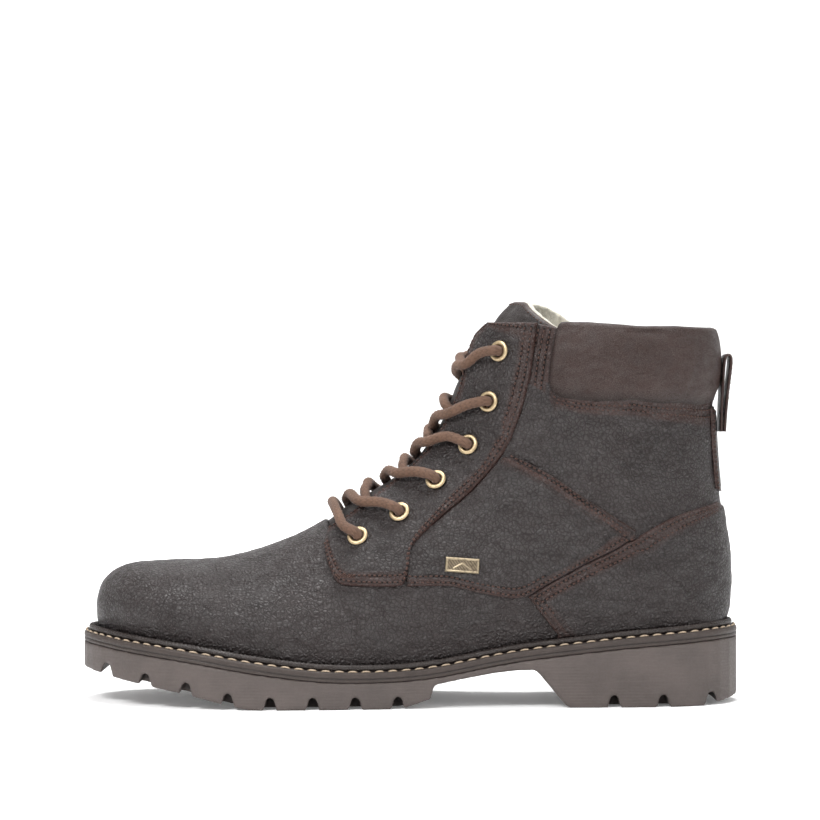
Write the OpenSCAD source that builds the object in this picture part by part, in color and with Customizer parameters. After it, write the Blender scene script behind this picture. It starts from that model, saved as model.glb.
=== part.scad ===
// Left winter lace-up ankle boot, toe towards -X, outer (lateral) side towards -Y, standing on z = 0.
// The upper is described by rings: straight cuts across the last that run from the front ridge
// down and back to the feather line (toe to heel seat) or to the back seam (heel and shaft).

/* [Boot] */
// Length of the outsole; the whole last is graded with it
boot_length = 304; // [292:1:316]
// Thickness of the upper leather
leather_t = 1.4; // [1.0:0.1:1.6]
// Thickness of the leather laid over other leather (quarters, counter patches, back stay)
overlay_t = 1.1; // [0.8:0.1:1.3]
// Thickness of the doubled facing leather that carries the eyelets
facing_t = 2.2; // [1.6:0.1:2.4]

/* [Warm layers] */
// Thickness of the insulation sheet
insulation_t = 1.0; // [0.6:0.1:1.1]
// Thickness of the fleece lining
lining_t = 2.1; // [1.5:0.1:2.2]
// Thickness of the removable footbed
footbed_t = 4.8; // [3:0.2:6]

/* [Bottom] */
// Depth of the tread grooves
tread_depth = 5.5; // [3:0.5:6]
// Height of the welt band
welt_h = 4.8; // [4:0.1:5]
// Distance between welt stitches
stitch_pitch = 6; // [5:0.5:9]
// Width of the steel shank
shank_w = 14; // [10:1:18]

/* [Lacing] */
// Diameter of the round lace
lace_d = 4.5; // [3.5:0.1:4.6]
// Diameter of the hole in an eyelet
eyelet_hole_d = 5.5; // [5.2:0.1:5.8]
// Outer diameter of an eyelet's flange
eyelet_flange_d = 9.2; // [8.6:0.1:9.6]

/* [Trim] */
// Width of the heel pull loop
loop_w = 15; // [10:1:18]
// Length of the metal badge
badge_l = 15.4; // [12:0.2:18]
// Height of the metal badge
badge_h = 6.8; // [5:0.2:8]

/* [Hidden] */

LATERAL = -1;
MEDIAL = 1;
grade = boot_length / 304;

// ---- The last ----
// One row per ring: ridge x, z; feather or back x, z; lateral half width at the feather line and
// largest; medial half width at the feather line and largest; y of the ring's middle.
RINGS = [
    [-146.0,  38.0, -145.4,  36.0,  3.4,  4.0,  3.4,  4.0,  7.0],
    [-145.6,  48.0, -141.5,  35.6, 15.0, 16.0, 15.0, 16.0,  6.5],
    [-141.5,  56.5, -134.0,  34.6, 25.0, 26.0, 25.0, 26.0,  6.0],
    [-131.0,  62.6, -121.0,  33.0, 35.0, 36.0, 35.0, 36.0,  4.0],
    [-112.0,  64.6,  -97.0,  30.0, 44.0, 45.0, 44.0, 45.0,  1.5],
    [ -84.0,  66.4,  -66.0,  25.0, 47.5, 48.5, 47.5, 48.5,  0.0],
    [ -54.0,  76.0,  -33.0,  21.5, 45.5, 47.0, 43.0, 45.5,  0.0],
    [ -27.0,  91.0,    6.0,  22.5, 38.5, 42.0, 33.5, 38.0, -2.0],
    [  -2.0, 107.0,   48.0,  30.0, 33.5, 39.5, 28.0, 34.5, -3.0],
    [  11.0, 122.0,   94.0,  35.5, 32.5, 38.0, 29.0, 34.5, -2.0],
    [  16.0, 131.0,  127.0,  38.2, 26.5, 37.0, 26.5, 34.5, -2.0],
    [  18.5, 137.5,  139.5,  39.2, 18.0, 37.0, 18.0, 35.0, -2.0],
    [  20.5, 143.0,  146.2,  41.0,  0.0, 37.0,  0.0, 35.0, -2.0],
    [  23.5, 152.0,  147.8,  66.0,  0.0, 37.0,  0.0, 35.5, -2.0],
    [  26.5, 162.0,  143.0, 100.0,  0.0, 37.0,  0.0, 36.0, -1.0],
    [  30.5, 171.5,  140.8, 135.0,  0.0, 39.5,  0.0, 39.0,  0.0],
    [  35.5, 181.0,  141.3, 172.0,  0.0, 42.5,  0.0, 42.5,  0.0],
    [  41.0, 191.0,  142.0, 184.0,  0.0, 44.0,  0.0, 44.0,  0.0]
];
LAST_RING = len(RINGS) - 1;
HEEL_RING = 12;     // from this ring on, the rings close at the back seam
SEAM = 0.997;       // how near to the back seam a side's own pieces reach
TUCK_SCALE = 100;   // millimetres that one unit of u beyond the feather line drops

// Outline of the outsole seen from above, from the toe tip by the medial side round the heel
OUTLINE = [
    [-152, 6], [-147, 25], [-132, 41], [-106, 51], [-70, 54], [-34, 50], [4, 39], [44, 32],
    [84, 33], [118, 34.5], [140, 25], [151.5, -2], [141, -27], [118, -38.5], [84, -41.5],
    [44, -43], [4, -47], [-34, -52.5], [-68, -54], [-100, -49], [-128, -34], [-146, -14]
];
OUTLINE_N = len(OUTLINE);

// Layer offsets from the last's surface, positive outwards
gap = 0.4;
stiff_out = -leather_t - gap;
stiff_t = 0.7;
insul_out = stiff_out - stiff_t - gap - 0.15;
lining_out = insul_out - insulation_t - gap;
lining_in = lining_out - lining_t;
overlay_in = 0.55;
overlay_out = overlay_in + overlay_t;
facing_out = overlay_in + facing_t;

// Heights below the feather line
welt_top = -4.6;
welt_bottom = welt_top - welt_h;
board_bottom = welt_top + 0.3;
board_top = board_bottom + 2.5;
upper_tuck = 1 + (-welt_top - 0.3) / TUCK_SCALE;
inner_tuck = 1.015;
footbed_bottom = board_top + 0.5;

function crom(p, t) =
    let (n = len(p), i = max(0, min(floor(t), n - 2)), f = t - i,
         a = p[max(i - 1, 0)], b = p[i], c = p[i + 1], d = p[min(i + 2, n - 1)])
    0.5 * (2 * b + (c - a) * f + (2 * a - 5 * b + 4 * c - d) * f * f
        + (3 * b - a - 3 * c + d) * f * f * f);

function crom_loop(p, t) =
    let (n = len(p), i = floor(t), f = t - i,
         a = p[(i - 1 + n) % n], b = p[i % n], c = p[(i + 1) % n], d = p[(i + 2) % n])
    0.5 * (2 * b + (c - a) * f + (2 * a - 5 * b + 4 * c - d) * f * f
        + (3 * b - a - 3 * c + d) * f * f * f);

// A point of the upper: t picks the ring, |u| runs from 0 at the ridge to 1 at the feather line or
// back seam, its sign is the side, and o is the distance out from the last.
function skin(t, u, o) =
    let (r = crom(RINGS, max(0, min(t, LAST_RING))),
         side = u < 0 ? LATERAL : MEDIAL,
         low = max(0, side == LATERAL ? r[4] : r[6]),
         wide = max(0.01, side == LATERAL ? r[5] : r[7]),
         start = asin(min(1, low / wide)),
         turn = start + max(0, 1 - abs(u)) * (180 - start),
         foot = [r[2], r[3]],
         chord = [r[0], r[1]] - foot,
         along = chord / norm(chord),
         c = (cos(start) - cos(turn)) / (1 + cos(start)),
         q = grade * (foot + c * chord) - along * cos(turn) * o,
         y = grade * (r[8] + side * wide * sin(turn)) + side * o * sin(turn))
    [q[0], y, q[1] - max(0, abs(u) - 1) * TUCK_SCALE];

// The [t, u] of a point given in the side view, by halving the range of rings
function ring_cross(t, p) =
    let (r = crom(RINGS, t), v = [r[0] - r[2], r[1] - r[3]], w = p - [r[2], r[3]])
    v[0] * w[1] - v[1] * w[0];
function ring_of(p, lo = 0, hi = LAST_RING, left = 26) =
    left == 0 ? (lo + hi) / 2 :
    let (mid = (lo + hi) / 2, same = ring_cross(mid, p) * ring_cross(0, p) > 0)
    ring_of(p, same ? mid : lo, same ? hi : mid, left - 1);
function place(p, side) =
    let (t = ring_of(p), r = crom(RINGS, t),
         low = max(0, side == LATERAL ? r[4] : r[6]),
         wide = side == LATERAL ? r[5] : r[7],
         start = asin(min(1, low / wide)),
         foot = [r[2], r[3]], v = [r[0], r[1]] - foot,
         c = ((p - foot) * v) / (v * v),
         turn = acos(max(-1, min(1, cos(start) - c * (1 + cos(start))))))
    [t, side * (1 - (turn - start) / (180 - start))];

// Outward normal of the upper
function normal(t, u) =
    let (dt = skin(t + 0.02, u, 0) - skin(t - 0.02, u, 0),
         du = skin(t, u + 0.004, 0) - skin(t, u - 0.004, 0), n = cross(dt, du))
    n / norm(n);

function outline_at(a, inset) =
    let (s = (a + OUTLINE_N) % OUTLINE_N, e = 0.05,
         d = crom_loop(OUTLINE, (s + e) % OUTLINE_N)
             - crom_loop(OUTLINE, (s - e + OUTLINE_N) % OUTLINE_N),
         n = [d[1], -d[0]] / norm(d))
    grade * crom_loop(OUTLINE, s) + inset * n;

// Height of the feather line along the boot
FEATHER_POINTS = concat([[-156, 37]], [for (i = [1:11]) [RINGS[i][2], RINGS[i][3]]], [[156, 39.6]]);
FEATHER_FINE = [for (t = [0:0.25:12]) crom(FEATHER_POINTS, t)];
function feather(x) = grade * lookup(x / grade, FEATHER_FINE);

// ---- Shells between two offsets of the last ----
function flat(rows) = [for (row = rows) each row];

// Closed shell over a grid of outer and inner points; both grids have the same size
module shell(outer, inner, flip = false) {
    rows = len(outer);
    cols = len(outer[0]);
    n = rows * cols;
    function quad(a, b, c, d) = [[a, b, c], [a, c, d]];
    faces = [
        for (i = [0:rows - 2], j = [0:cols - 2])
            let (a = i * cols + j, b = a + 1, c = b + cols, d = a + cols)
            each concat(quad(a, b, c, d), quad(n + a, n + d, n + c, n + b)),
        for (j = [0:cols - 2]) each quad(j + 1, j, n + j, n + j + 1),
        for (j = [0:cols - 2])
            let (a = (rows - 1) * cols + j)
            each quad(a, a + 1, n + a + 1, n + a),
        for (i = [0:rows - 2])
            let (a = i * cols)
            each quad(a, a + cols, n + a + cols, n + a),
        for (i = [0:rows - 2])
            let (a = i * cols + cols - 1)
            each quad(a + cols, a, n + a, n + a + cols)
    ];
    polyhedron(concat(flat(outer), flat(inner)),
        flip ? [for (f = faces) [f[2], f[1], f[0]]] : faces);
}

// Shell over a grid of [t, u] places
module skin_shell(grid, out, in, flip = false) {
    shell([for (row = grid) [for (p = row) skin(p[0], p[1], out)]],
        [for (row = grid) [for (p = row) skin(p[0], p[1], in)]], flip);
}

// Toe cap shaped cup: outer and inner faces start at rings of their own and close across the toe
module toe_cup(first_out, first_in, last, us, out, in, rows) {
    cols = len(us);
    n = (rows + 1) * cols;
    function grid(first, o) = [
        for (i = [0:rows], u = us)
            let (end = last(abs(u)), s = i / rows)
            skin(first + (end - first) * pow(s, 1.05), u, o)
    ];
    half = floor(cols / 2);
    faces = [
        for (i = [0:rows - 1], j = [0:cols - 2])
            let (a = i * cols + j, b = a + 1, c = b + cols, d = a + cols)
            each [[a, b, c], [a, c, d], [n + a, n + c, n + b], [n + a, n + d, n + c]],
        for (j = [0:cols - 2])
            let (a = rows * cols + j)
            each [[a, a + 1, n + a + 1], [a, n + a + 1, n + a]],
        for (i = [0:rows - 1])
            let (a = i * cols)
            each [[a, a + cols, n + a + cols], [a, n + a + cols, n + a]],
        for (i = [0:rows - 1])
            let (a = i * cols + cols - 1)
            each [[a + cols, a, n + a], [a + cols, n + a, n + a + cols]],
        for (j = [0:half - 1]) each [
            [j, cols - 1 - j, j + 1], [n + j, n + j + 1, n + cols - 1 - j],
            if (j < half - 1 || cols % 2 == 0)
                each [[j + 1, cols - 1 - j, cols - 2 - j],
                      [n + j + 1, n + cols - 2 - j, n + cols - 1 - j]]
        ],
        [0, n, n + cols - 1], [0, n + cols - 1, cols - 1]
    ];
    polyhedron(concat(grid(first_out, out), grid(first_in, in)),
        [for (f = faces) if (f[0] != f[1] && f[1] != f[2] && f[0] != f[2]) f]);
}

// Points between two seam lines given in the side view, joined across by straight [t, u] lines
function seam(points, side, sub) =
    let (p = [for (q = points) place(q, side)])
    [for (i = [0:len(p) - 2], k = [0:sub - 1]) p[i] + (p[i + 1] - p[i]) * k / sub, p[len(p) - 1]];
function between(a, b, steps) =
    [for (i = [0:len(a) - 1]) [for (k = [0:steps]) a[i] + (b[i] - a[i]) * k / steps]];

module panel(edge_a, edge_b, side, out, in, sub, steps) {
    skin_shell(between(seam(edge_a, side, sub), seam(edge_b, side, sub), steps), out, in,
        side == LATERAL);
}

// ---- Seam lines in the side view ----
LACE_EDGE = [
    [-37, 79], [-27, 85], [-14.5, 94], [-4.5, 101.5], [4, 109], [11.5, 117.5], [17.5, 127],
    [22, 137.5], [25.5, 149], [28.5, 161], [32, 169], [37, 174]
];
FACING_BACK = [
    [-38.5, 72], [-37, 64], [-32.5, 55], [-17, 54.5], [-1.5, 54.5], [-2, 70], [14, 85.5],
    [29, 97.5], [43, 114], [50, 131], [55, 150], [58, 173.5]
];
QUARTER_LOW = [
    [-0.4, 54.6], [10, 55], [19, 55], [30, 52], [50, 48.5], [64, 57.8], [79, 65.8], [92, 72],
    [100, 77.5]
];
QUARTER_HIGH = [
    [-0.5, 58], [-0.8, 69.5], [7, 78.3], [15.6, 84.8], [30.6, 97], [45, 114.5], [64, 104.5],
    [79, 94], [101, 80.5]
];
COLLAR_LOW_T = [[0.36, 14.1], [0.43, 14.2], [0.58, 14.65], [0.75, 14.93], [1, 15.11]];
COLLAR_HIGH_T = [[0.34, 15.55], [0.45, 15.66], [0.72, 15.84], [1, 15.93]];
SHAFT_TOP_T = [
    [0.2, 15.72], [0.26, 15.7], [0.325, 15.56], [0.34, 14.3], [0.355, 13.95],
    [0.43, 14.06], [0.58, 14.52], [0.75, 14.82], [1, 15.02]
];
// How far forward the layers behind the facing reach, leaving room for eyelets and lace
FRONT_U = [[6.5, 0.52], [8.6, 0.405], [9.7, 0.37], [12.6, 0.31], [14.4, 0.28], [16, 0.27]];
PATCH_TOP = [[53, 49], [64, 56.3], [79, 64.3], [92, 70.4], [101, 76], [120, 86.4], [142, 92.5]];
PATCH_EDGE = [for (i = [0:len(PATCH_TOP) - 2], k = [0:5])
    PATCH_TOP[i] + (PATCH_TOP[i + 1] - PATCH_TOP[i]) * k / 5];
function patch_top_u(t, side) =
    lookup(t, [for (p = PATCH_EDGE) let (q = place(p, side)) [q[0], abs(q[1])]]);
vamp_end = 8.58;
throat = 6.45;

function vamp_last(u) = lookup(u, [[0, throat], [0.44, throat], [0.55, vamp_end], [1, vamp_end]]);
CUP_US = [1, 0.91, 0.82, 0.73, 0.64, 0.55, 0.52, 0.495, 0.47, 0.44, 0.36, 0.27, 0.18, 0.09];
function cup_us(tucked) =
    concat([-tucked], -CUP_US, [0], [for (k = [len(CUP_US) - 1:-1:0]) CUP_US[k]], [tucked]);

// ---- Upper ----
module vamp() {
    color("#35251f")
        toe_cup(0, 0.45, function (u) vamp_last(u), cup_us(upper_tuck), 0, -leather_t, 20);
}

module shaft_panel(side) {
    cols = 14;
    rows = 14;
    grid = [for (i = [0:rows]) [for (k = [0:cols])
        let (s = pow(k / cols, 1.15),
             start = 8.64,
             t_guess = start + (15.5 - start) * i / rows,
             back = t_guess < HEEL_RING - 0.1 ? upper_tuck : SEAM,
             u = back + (lookup(t_guess, FRONT_U) - back) * s,
             t = start + (lookup(min(1, u), SHAFT_TOP_T) - start) * i / rows)
        [t, side * u]]];
    skin_shell(grid, 0, -leather_t, side == MEDIAL);
}
module shaft_panel_lateral() { color("#3a2923") shaft_panel(LATERAL); }
module shaft_panel_medial() { color("#3a2923") shaft_panel(MEDIAL); }

module quarter_lateral() {
    color("#33241e") panel(QUARTER_HIGH, QUARTER_LOW, LATERAL, overlay_out, overlay_in, 2, 6);
}
module quarter_medial() {
    color("#33241e") panel(QUARTER_HIGH, QUARTER_LOW, MEDIAL, overlay_out, overlay_in, 2, 6);
}

module facing(side) {
    difference() {
        panel(LACE_EDGE, FACING_BACK, side, facing_out, overlay_in, 2, 6);
        for (e = EYELETS) at_skin(e, side, -3) cylinder(r = eyelet_hole_d / 2 + 0.7, h = 9, $fn = 32);
    }
}
module facing_lateral() { color("#2e201b") facing(LATERAL); }
module facing_medial() { color("#2e201b") facing(MEDIAL); }

module counter_patch(side) {
    grid = [for (i = [0:20])
        let (t = 8.62 + (13.7 - 8.62) * pow(i / 20, 0.8), back = t < HEEL_RING ? 0.985 : SEAM,
             front = patch_top_u(t, side))
        [for (k = [0:11]) [t, side * (back + (front - back) * pow(k / 11, 1.15))]]];
    skin_shell(grid, overlay_out, overlay_in, side == MEDIAL);
}
module counter_patch_lateral() { color("#33241e") counter_patch(LATERAL); }
module counter_patch_medial() { color("#33241e") counter_patch(MEDIAL); }

// Place on the back of the shaft: v is 0 on the back seam, negative on the lateral side
function behind(t, v) = [t, (v < 0 ? LATERAL : MEDIAL) * (1 - abs(v))];

module back_stay() {
    grid = [for (i = [0:6]) [for (k = [-3:3]) behind(13.92 + 1.05 * i / 6, 0.1 * k / 3)]];
    color("#2e201b") skin_shell(grid, overlay_out, overlay_in, true);
}

// ---- Stiffeners ----
module toe_puff() {
    color("#8a8377")
        toe_cup(0.8, 1.15, function (u) 3.4, cup_us(inner_tuck), stiff_out - 0.15,
            stiff_out - stiff_t, 7);
}

// Rows from the side's front edge to the back seam: bottom ring, top ring, top u
COUNTER = [
    [9.4, 9.6, 0.79], [9.9, 10.4, 0.74], [10.5, 11.2, 0.69], [10.9, 11.8, 0.66],
    [11.2, 12.3, 0.69], [11.5, 12.7, 0.75], [11.7, 12.95, 0.83], [11.9, 13.2, 0.91],
    [12.02, 13.3, 1]
];
module heel_counter() {
    function row(side, c) = [for (k = [0:6])
        [c[0] + (c[1] - c[0]) * k / 6, side * (1 + (c[2] - 1) * k / 6)]];
    grid = concat([for (c = COUNTER) row(LATERAL, c)],
        [for (i = [len(COUNTER) - 2:-1:0]) row(MEDIAL, COUNTER[i])]);
    color("#8a8377") skin_shell(grid, stiff_out, stiff_out - stiff_t);
}

// ---- Insulation and fleece ----
// How far up the side each row of the inner layers lies, closer together round the heel seat
INNER_ROWS = [0, 0.1, 0.19, 0.27, 0.34, 0.4, 0.45, 0.5, 0.57, 0.66, 0.75, 0.83, 0.91, 1];
module inner_side(side, out, in) {
    cols = 13;
    grid = [for (f = INNER_ROWS) [for (k = [0:cols])
        let (start = 8.64,
             t_guess = start + (15.5 - start) * f,
             back = t_guess < HEEL_RING - 0.1 ? inner_tuck : SEAM - 0.004,
             u = back + (lookup(t_guess, FRONT_U) + 0.01 - back) * pow(k / cols, 1.25),
             t = start + (lookup(min(1, u), [[0.3, 15.55], [0.6, 15.72], [1, 15.88]]) - start) * f)
        [t, side * u]]];
    skin_shell(grid, out, in, side == MEDIAL);
}
module insulation_forefoot() {
    us = cup_us(inner_tuck);
    grid = [for (i = [0:8]) [for (u = us)
        let (first = 3.5) [first + (vamp_last(abs(u)) - first) * i / 8, u]]];
    color("#c9c4b4") skin_shell(grid, insul_out, insul_out - insulation_t);
}
module insulation_lateral() {
    color("#c9c4b4") inner_side(LATERAL, insul_out, insul_out - insulation_t);
}
module insulation_medial() {
    color("#c9c4b4") inner_side(MEDIAL, insul_out, insul_out - insulation_t);
}
module lining_forefoot() {
    color("#efe8d8")
        toe_cup(1.4, 2, function (u) vamp_last(u), cup_us(inner_tuck), lining_out, lining_in, 12);
}
module lining_lateral() { color("#efe8d8") inner_side(LATERAL, lining_out, lining_in); }
module lining_medial() { color("#efe8d8") inner_side(MEDIAL, lining_out, lining_in); }

// ---- Padded collar ----
COLLAR_FRONT = 0.37;
function collar_grid(rows, cols, o, swell, inset) = [
    for (i = [0:rows]) [for (k = [0:cols])
        let (v = (1 - COLLAR_FRONT - inset * 0.02) * (2 * k / cols - 1),
             u = 1 - abs(v),
             low = lookup(u, COLLAR_LOW_T) + inset * 0.06,
             high = lookup(u, COLLAR_HIGH_T) - inset * 0.06,
             p = behind(low + (high - low) * i / rows, v))
        skin(p[0], p[1], o + swell * sin(180 * i / rows))]
];
module collar() {
    color("#3d261e") shell(collar_grid(5, 20, 0.2, 1.6, 0), collar_grid(5, 20, -leather_t, 0, 0), true);
}
module collar_foam() {
    color("#d8c48a")
        shell(collar_grid(5, 20, stiff_out, 0, 1), collar_grid(5, 20, stiff_out - stiff_t, 0, 1), true);
}

// ---- Tongue ----
// The tongue bulges between the facings and dives under them to leave the lace its room
tongue_wing = lining_in - 1.2;
TONGUE_TOP = 16.35;
TONGUE_DIVE = [[0, -0.8], [0.035, -1.1], [0.06, -2], [0.1, -4.9], [0.13, tongue_wing], [1, tongue_wing]];
// Near the top the tongue falls back from the facings
TONGUE_LEAN = [[6, 0], [12.5, 0], [14, -3], [15.4, -6], [17, -6]];
function tongue_out(t, u) = max(tongue_wing, lookup(abs(u), TONGUE_DIVE) + lookup(t, TONGUE_LEAN));
TONGUE_US = [-1, -0.7, -0.4, -0.27, -0.17, -0.09, 0, 0.09, 0.17, 0.27, 0.4, 0.7, 1];
TONGUE_HALF_U = [[6.5, 0.4], [8, 0.36], [10, 0.36], [13, 0.4], [15.4, 0.4], [16, 0.3], [16.4, 0.2]];
TONGUE_FIRST = 6.53;
module tongue_layer(top, thick) {
    rows = 13;
    function grid(depth) = [for (i = [0:rows]) [for (w = TONGUE_US)
        let (t = TONGUE_FIRST + (TONGUE_TOP - TONGUE_FIRST) * i / rows,
             u = w * lookup(t, TONGUE_HALF_U))
        skin(t, u, tongue_out(t, u) - depth)]];
    shell(grid(top), grid(top + thick));
}
module tongue() { color("#2b1e1a") tongue_layer(0, 1.4); }
module tongue_foam() { color("#d8c48a") tongue_layer(1.7, 1.5); }
module tongue_lining() { color("#efe8d8") tongue_layer(3.5, 1.6); }

// ---- Lacing ----
// Middle of each eyelet in the side view, from the throat upwards
EYELETS = [[-23, 75.5], [-4, 86.5], [12.5, 101], [27.5, 117.5], [37, 137.5], [42, 160.5]];

// Puts its children on the surface at p, with their z axis outwards and x towards the heel
module at_skin(p, side, o, heelwards = [1, 0, 0]) {
    q = place(p, side);
    n = normal(q[0], q[1]);
    up = cross(n, heelwards);
    b = up / norm(up);
    a = cross(b, n);
    c = skin(q[0], q[1], 0) + o * n;
    multmatrix([[a[0], b[0], n[0], c[0]], [a[1], b[1], n[1], c[1]], [a[2], b[2], n[2], c[2]]])
        children();
}

barrel_r = eyelet_hole_d / 2 + 0.45;
flange_t = 0.9;
washer_t = 0.4;
barrel_end = -0.9;
module eyelet() {
    base = facing_out + 0.15;
    rotate_extrude($fn = 40)
        polygon([
            [eyelet_hole_d / 2, barrel_end], [barrel_r, barrel_end], [barrel_r, base],
            [eyelet_flange_d / 2, base], [eyelet_flange_d / 2 - 0.2, base + 0.45],
            [eyelet_flange_d / 2 - 0.9, base + flange_t], [barrel_r, base + flange_t],
            [eyelet_hole_d / 2, base + 0.5]
        ]);
}
module washer() {
    translate([0, 0, barrel_end + 0.05])
        difference() {
            cylinder(r = eyelet_flange_d / 2 - 0.4, h = washer_t, $fn = 40);
            translate([0, 0, -1]) cylinder(r = barrel_r + 0.05, h = 3, $fn = 40);
        }
}
module eyelets_lateral() { color("#b08a4a") for (e = EYELETS) at_skin(e, LATERAL, 0) eyelet(); }
module eyelets_medial() { color("#b08a4a") for (e = EYELETS) at_skin(e, MEDIAL, 0) eyelet(); }
module eyelet_washers_lateral() { color("#9a7a44") for (e = EYELETS) at_skin(e, LATERAL, 0) washer(); }
module eyelet_washers_medial() { color("#9a7a44") for (e = EYELETS) at_skin(e, MEDIAL, 0) washer(); }

// Ring at which the strand into the next lateral, or medial, eyelet crosses the ridge
CROSS_LATERAL = [6.95, 7.62, 8.35, 9.2, 12.9];
CROSS_MEDIAL = [7.32, 8.05, 8.95, 10.8, 13.4];
over = facing_out + flange_t + lace_d / 2 + 0.5;
under = barrel_end - lace_d / 2 - 0.35;

function eyelet_axis(i, side, o) =
    let (q = place(EYELETS[i], side)) skin(q[0], q[1], 0) + o * normal(q[0], q[1]);
function edge_u(t) =
    lookup(t, [[6.5, 0.25], [7.5, 0.17], [8.5, 0.14], [10, 0.13], [12.5, 0.12], [14.2, 0.1], [15.5, 0.12]]);

// One strand: out of the inside of eyelet i on one side, over the tongue, and into eyelet i + 1
function strand(i, from) =
    let (to = -from, a = place(EYELETS[i], from), b = place(EYELETS[i + 1], to),
         mid = to == LATERAL ? CROSS_LATERAL[i] : CROSS_MEDIAL[i],
         rest = tongue_out(mid, 0) + lace_d / 2 + 1.65,
         ua = abs(a[1]), ub = abs(b[1]), ea = edge_u(a[0]), eb = edge_u(mid),
         ta = a[0] + (mid - a[0]) * 0.5, tb = mid + (b[0] - mid) * 0.3,
         tc = mid + (b[0] - mid) * 0.72)
    [
        eyelet_axis(i, from, 1),
        eyelet_axis(i, from, under + 1.3),
        skin(a[0] + (mid - a[0]) * 0.1, from * (ua - 0.03), under - 0.35),
        skin(ta, from * (ea + 0.025), under - 0.2),
        skin(ta + (mid - ta) * 0.4, from * (ea - 0.035), (under + rest) / 2 + 0.1),
        skin(ta + (mid - ta) * 0.75, from * 0.045, rest - 0.2),
        skin(mid, 0, rest),
        skin(mid + (tb - mid) * 0.5, to * 0.07, (rest + over) / 2 + 0.6),
        skin(tb, to * (eb + 0.02), over),
        skin(tc, to * (eb + 0.6 * (ub - eb)), over + 0.3),
        eyelet_axis(i + 1, to, over + 0.6),
        eyelet_axis(i + 1, to, over - 1.6)
    ];

// The tail runs from the top eyelet down behind the eyelet row, between facing and tongue
TAIL_UP = [
    [14.05, 0.235], [13.7, 0.262], [13.2, 0.27], [12.6, 0.275], [11.6, 0.295], [10.5, 0.325],
    [9.9, 0.335]
];
TAIL_END = [9.1, 0.36];
function tail(side) = [
    eyelet_axis(5, side, 1),
    eyelet_axis(5, side, under + 0.7),
    for (p = TAIL_UP) skin(p[0], side * p[1], under - 0.3)
];
function reversed(p) = [for (i = [len(p) - 1:-1:0]) p[i]];

bar_t = 6.74;
BAR_U = [-0.34, -0.25, -0.13, 0, 0.13, 0.25, 0.34];
bar = concat(
    [eyelet_axis(0, LATERAL, over - 1.6), eyelet_axis(0, LATERAL, over + 0.5)],
    [for (u = BAR_U) skin(bar_t + 0.1 * abs(u), u, abs(u) > 0.2 ? over + 0.1 : over - 0.6)],
    [eyelet_axis(0, MEDIAL, over + 0.5), eyelet_axis(0, MEDIAL, over - 1.6)]);

// Half of the lace, from the first eyelet on one side up to its tail
function half_lace(side) = [
    each strand(0, side), each strand(1, -side), each strand(2, side),
    each strand(3, -side), each strand(4, side), each tail(-side)
];

LACE_PATH = concat(reversed(half_lace(LATERAL)), bar, half_lace(MEDIAL));

// Round tube along a path; every ring is turned from the same reference so that it doesn't twist
module tube(path, r, sides) {
    last = len(path) - 1;
    reference = [0.62, 0, 0.78];
    rings = [for (i = [0:last])
        let (d = path[min(i + 1, last)] - path[max(i - 1, 0)], w = d / norm(d),
             a = cross(w, reference), u = a / norm(a), v = cross(w, u))
        [for (k = [0:sides - 1])
            let (g = 360 * k / sides) path[i] + r * (cos(g) * u + sin(g) * v)]];
    polyhedron(flat(rings), [
        for (i = [0:last - 1], k = [0:sides - 1])
            let (a = i * sides + k, b = i * sides + (k + 1) % sides)
            each [[a, b + sides, b], [a, a + sides, b + sides]],
        [for (k = [0:sides - 1]) k],
        [for (k = [sides - 1:-1:0]) last * sides + k]
    ]);
}

module lace() { color("#6b4a3a") tube(LACE_PATH, lace_d / 2, 8); }

aglet_l = 14;
module aglet(side) {
    p = tail(side);
    start = p[len(p) - 1];
    run = skin(TAIL_END[0], side * TAIL_END[1], under - 0.3) - start;
    d = run / norm(run);
    translate(start + 0.5 * d)
        rotate([0, acos(d[2]), atan2(d[1], d[0])])
        cylinder(d = lace_d - 0.9, h = aglet_l, $fn = 24);
}
module aglets() {
    color("#4a3328") {
        aglet(LATERAL);
        aglet(MEDIAL);
    }
}

// ---- Trim ----
BADGE_AT = [23.5, 64];
badge_t = 0.8;
badge_rim = 0.7;
module badge() {
    color("#a08a5c")
        at_skin(BADGE_AT, LATERAL, overlay_out + 0.15, [1, 0, -0.07])
        difference() {
            translate([-badge_l / 2, -badge_h / 2, 0]) cube([badge_l, badge_h, badge_t + 0.3]);
            translate([badge_rim - badge_l / 2, badge_rim - badge_h / 2, badge_t])
                cube([badge_l - 2 * badge_rim, badge_h - 2 * badge_rim, 1]);
        }
}
loop_t = 1.8;
LOOP_LINE = [
    [144.0, 124], [144.0, 132], [144.4, 142], [144.9, 150], [145.4, 156], [146.0, 158.8],
    [147.3, 159.6], [148.4, 158.4], [148.5, 156], [148.0, 150], [147.4, 142], [146.9, 132],
    [146.6, 124]
];
function strip(line, w) =
    let (n = len(line) - 1,
         side = function (s) [for (i = [0:n])
             let (d = line[min(i + 1, n)] - line[max(i - 1, 0)], e = d / norm(d))
             line[i] + s * w / 2 * [-e[1], e[0]]])
    concat(side(1), reversed(side(-1)));
module pull_loop() {
    color("#2b1e1a")
        translate([0, loop_w / 2 - 0.5, 0])
        rotate([90, 0, 0])
        linear_extrude(loop_w) {
            polygon(strip(grade * LOOP_LINE, loop_t));
        }
}

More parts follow.
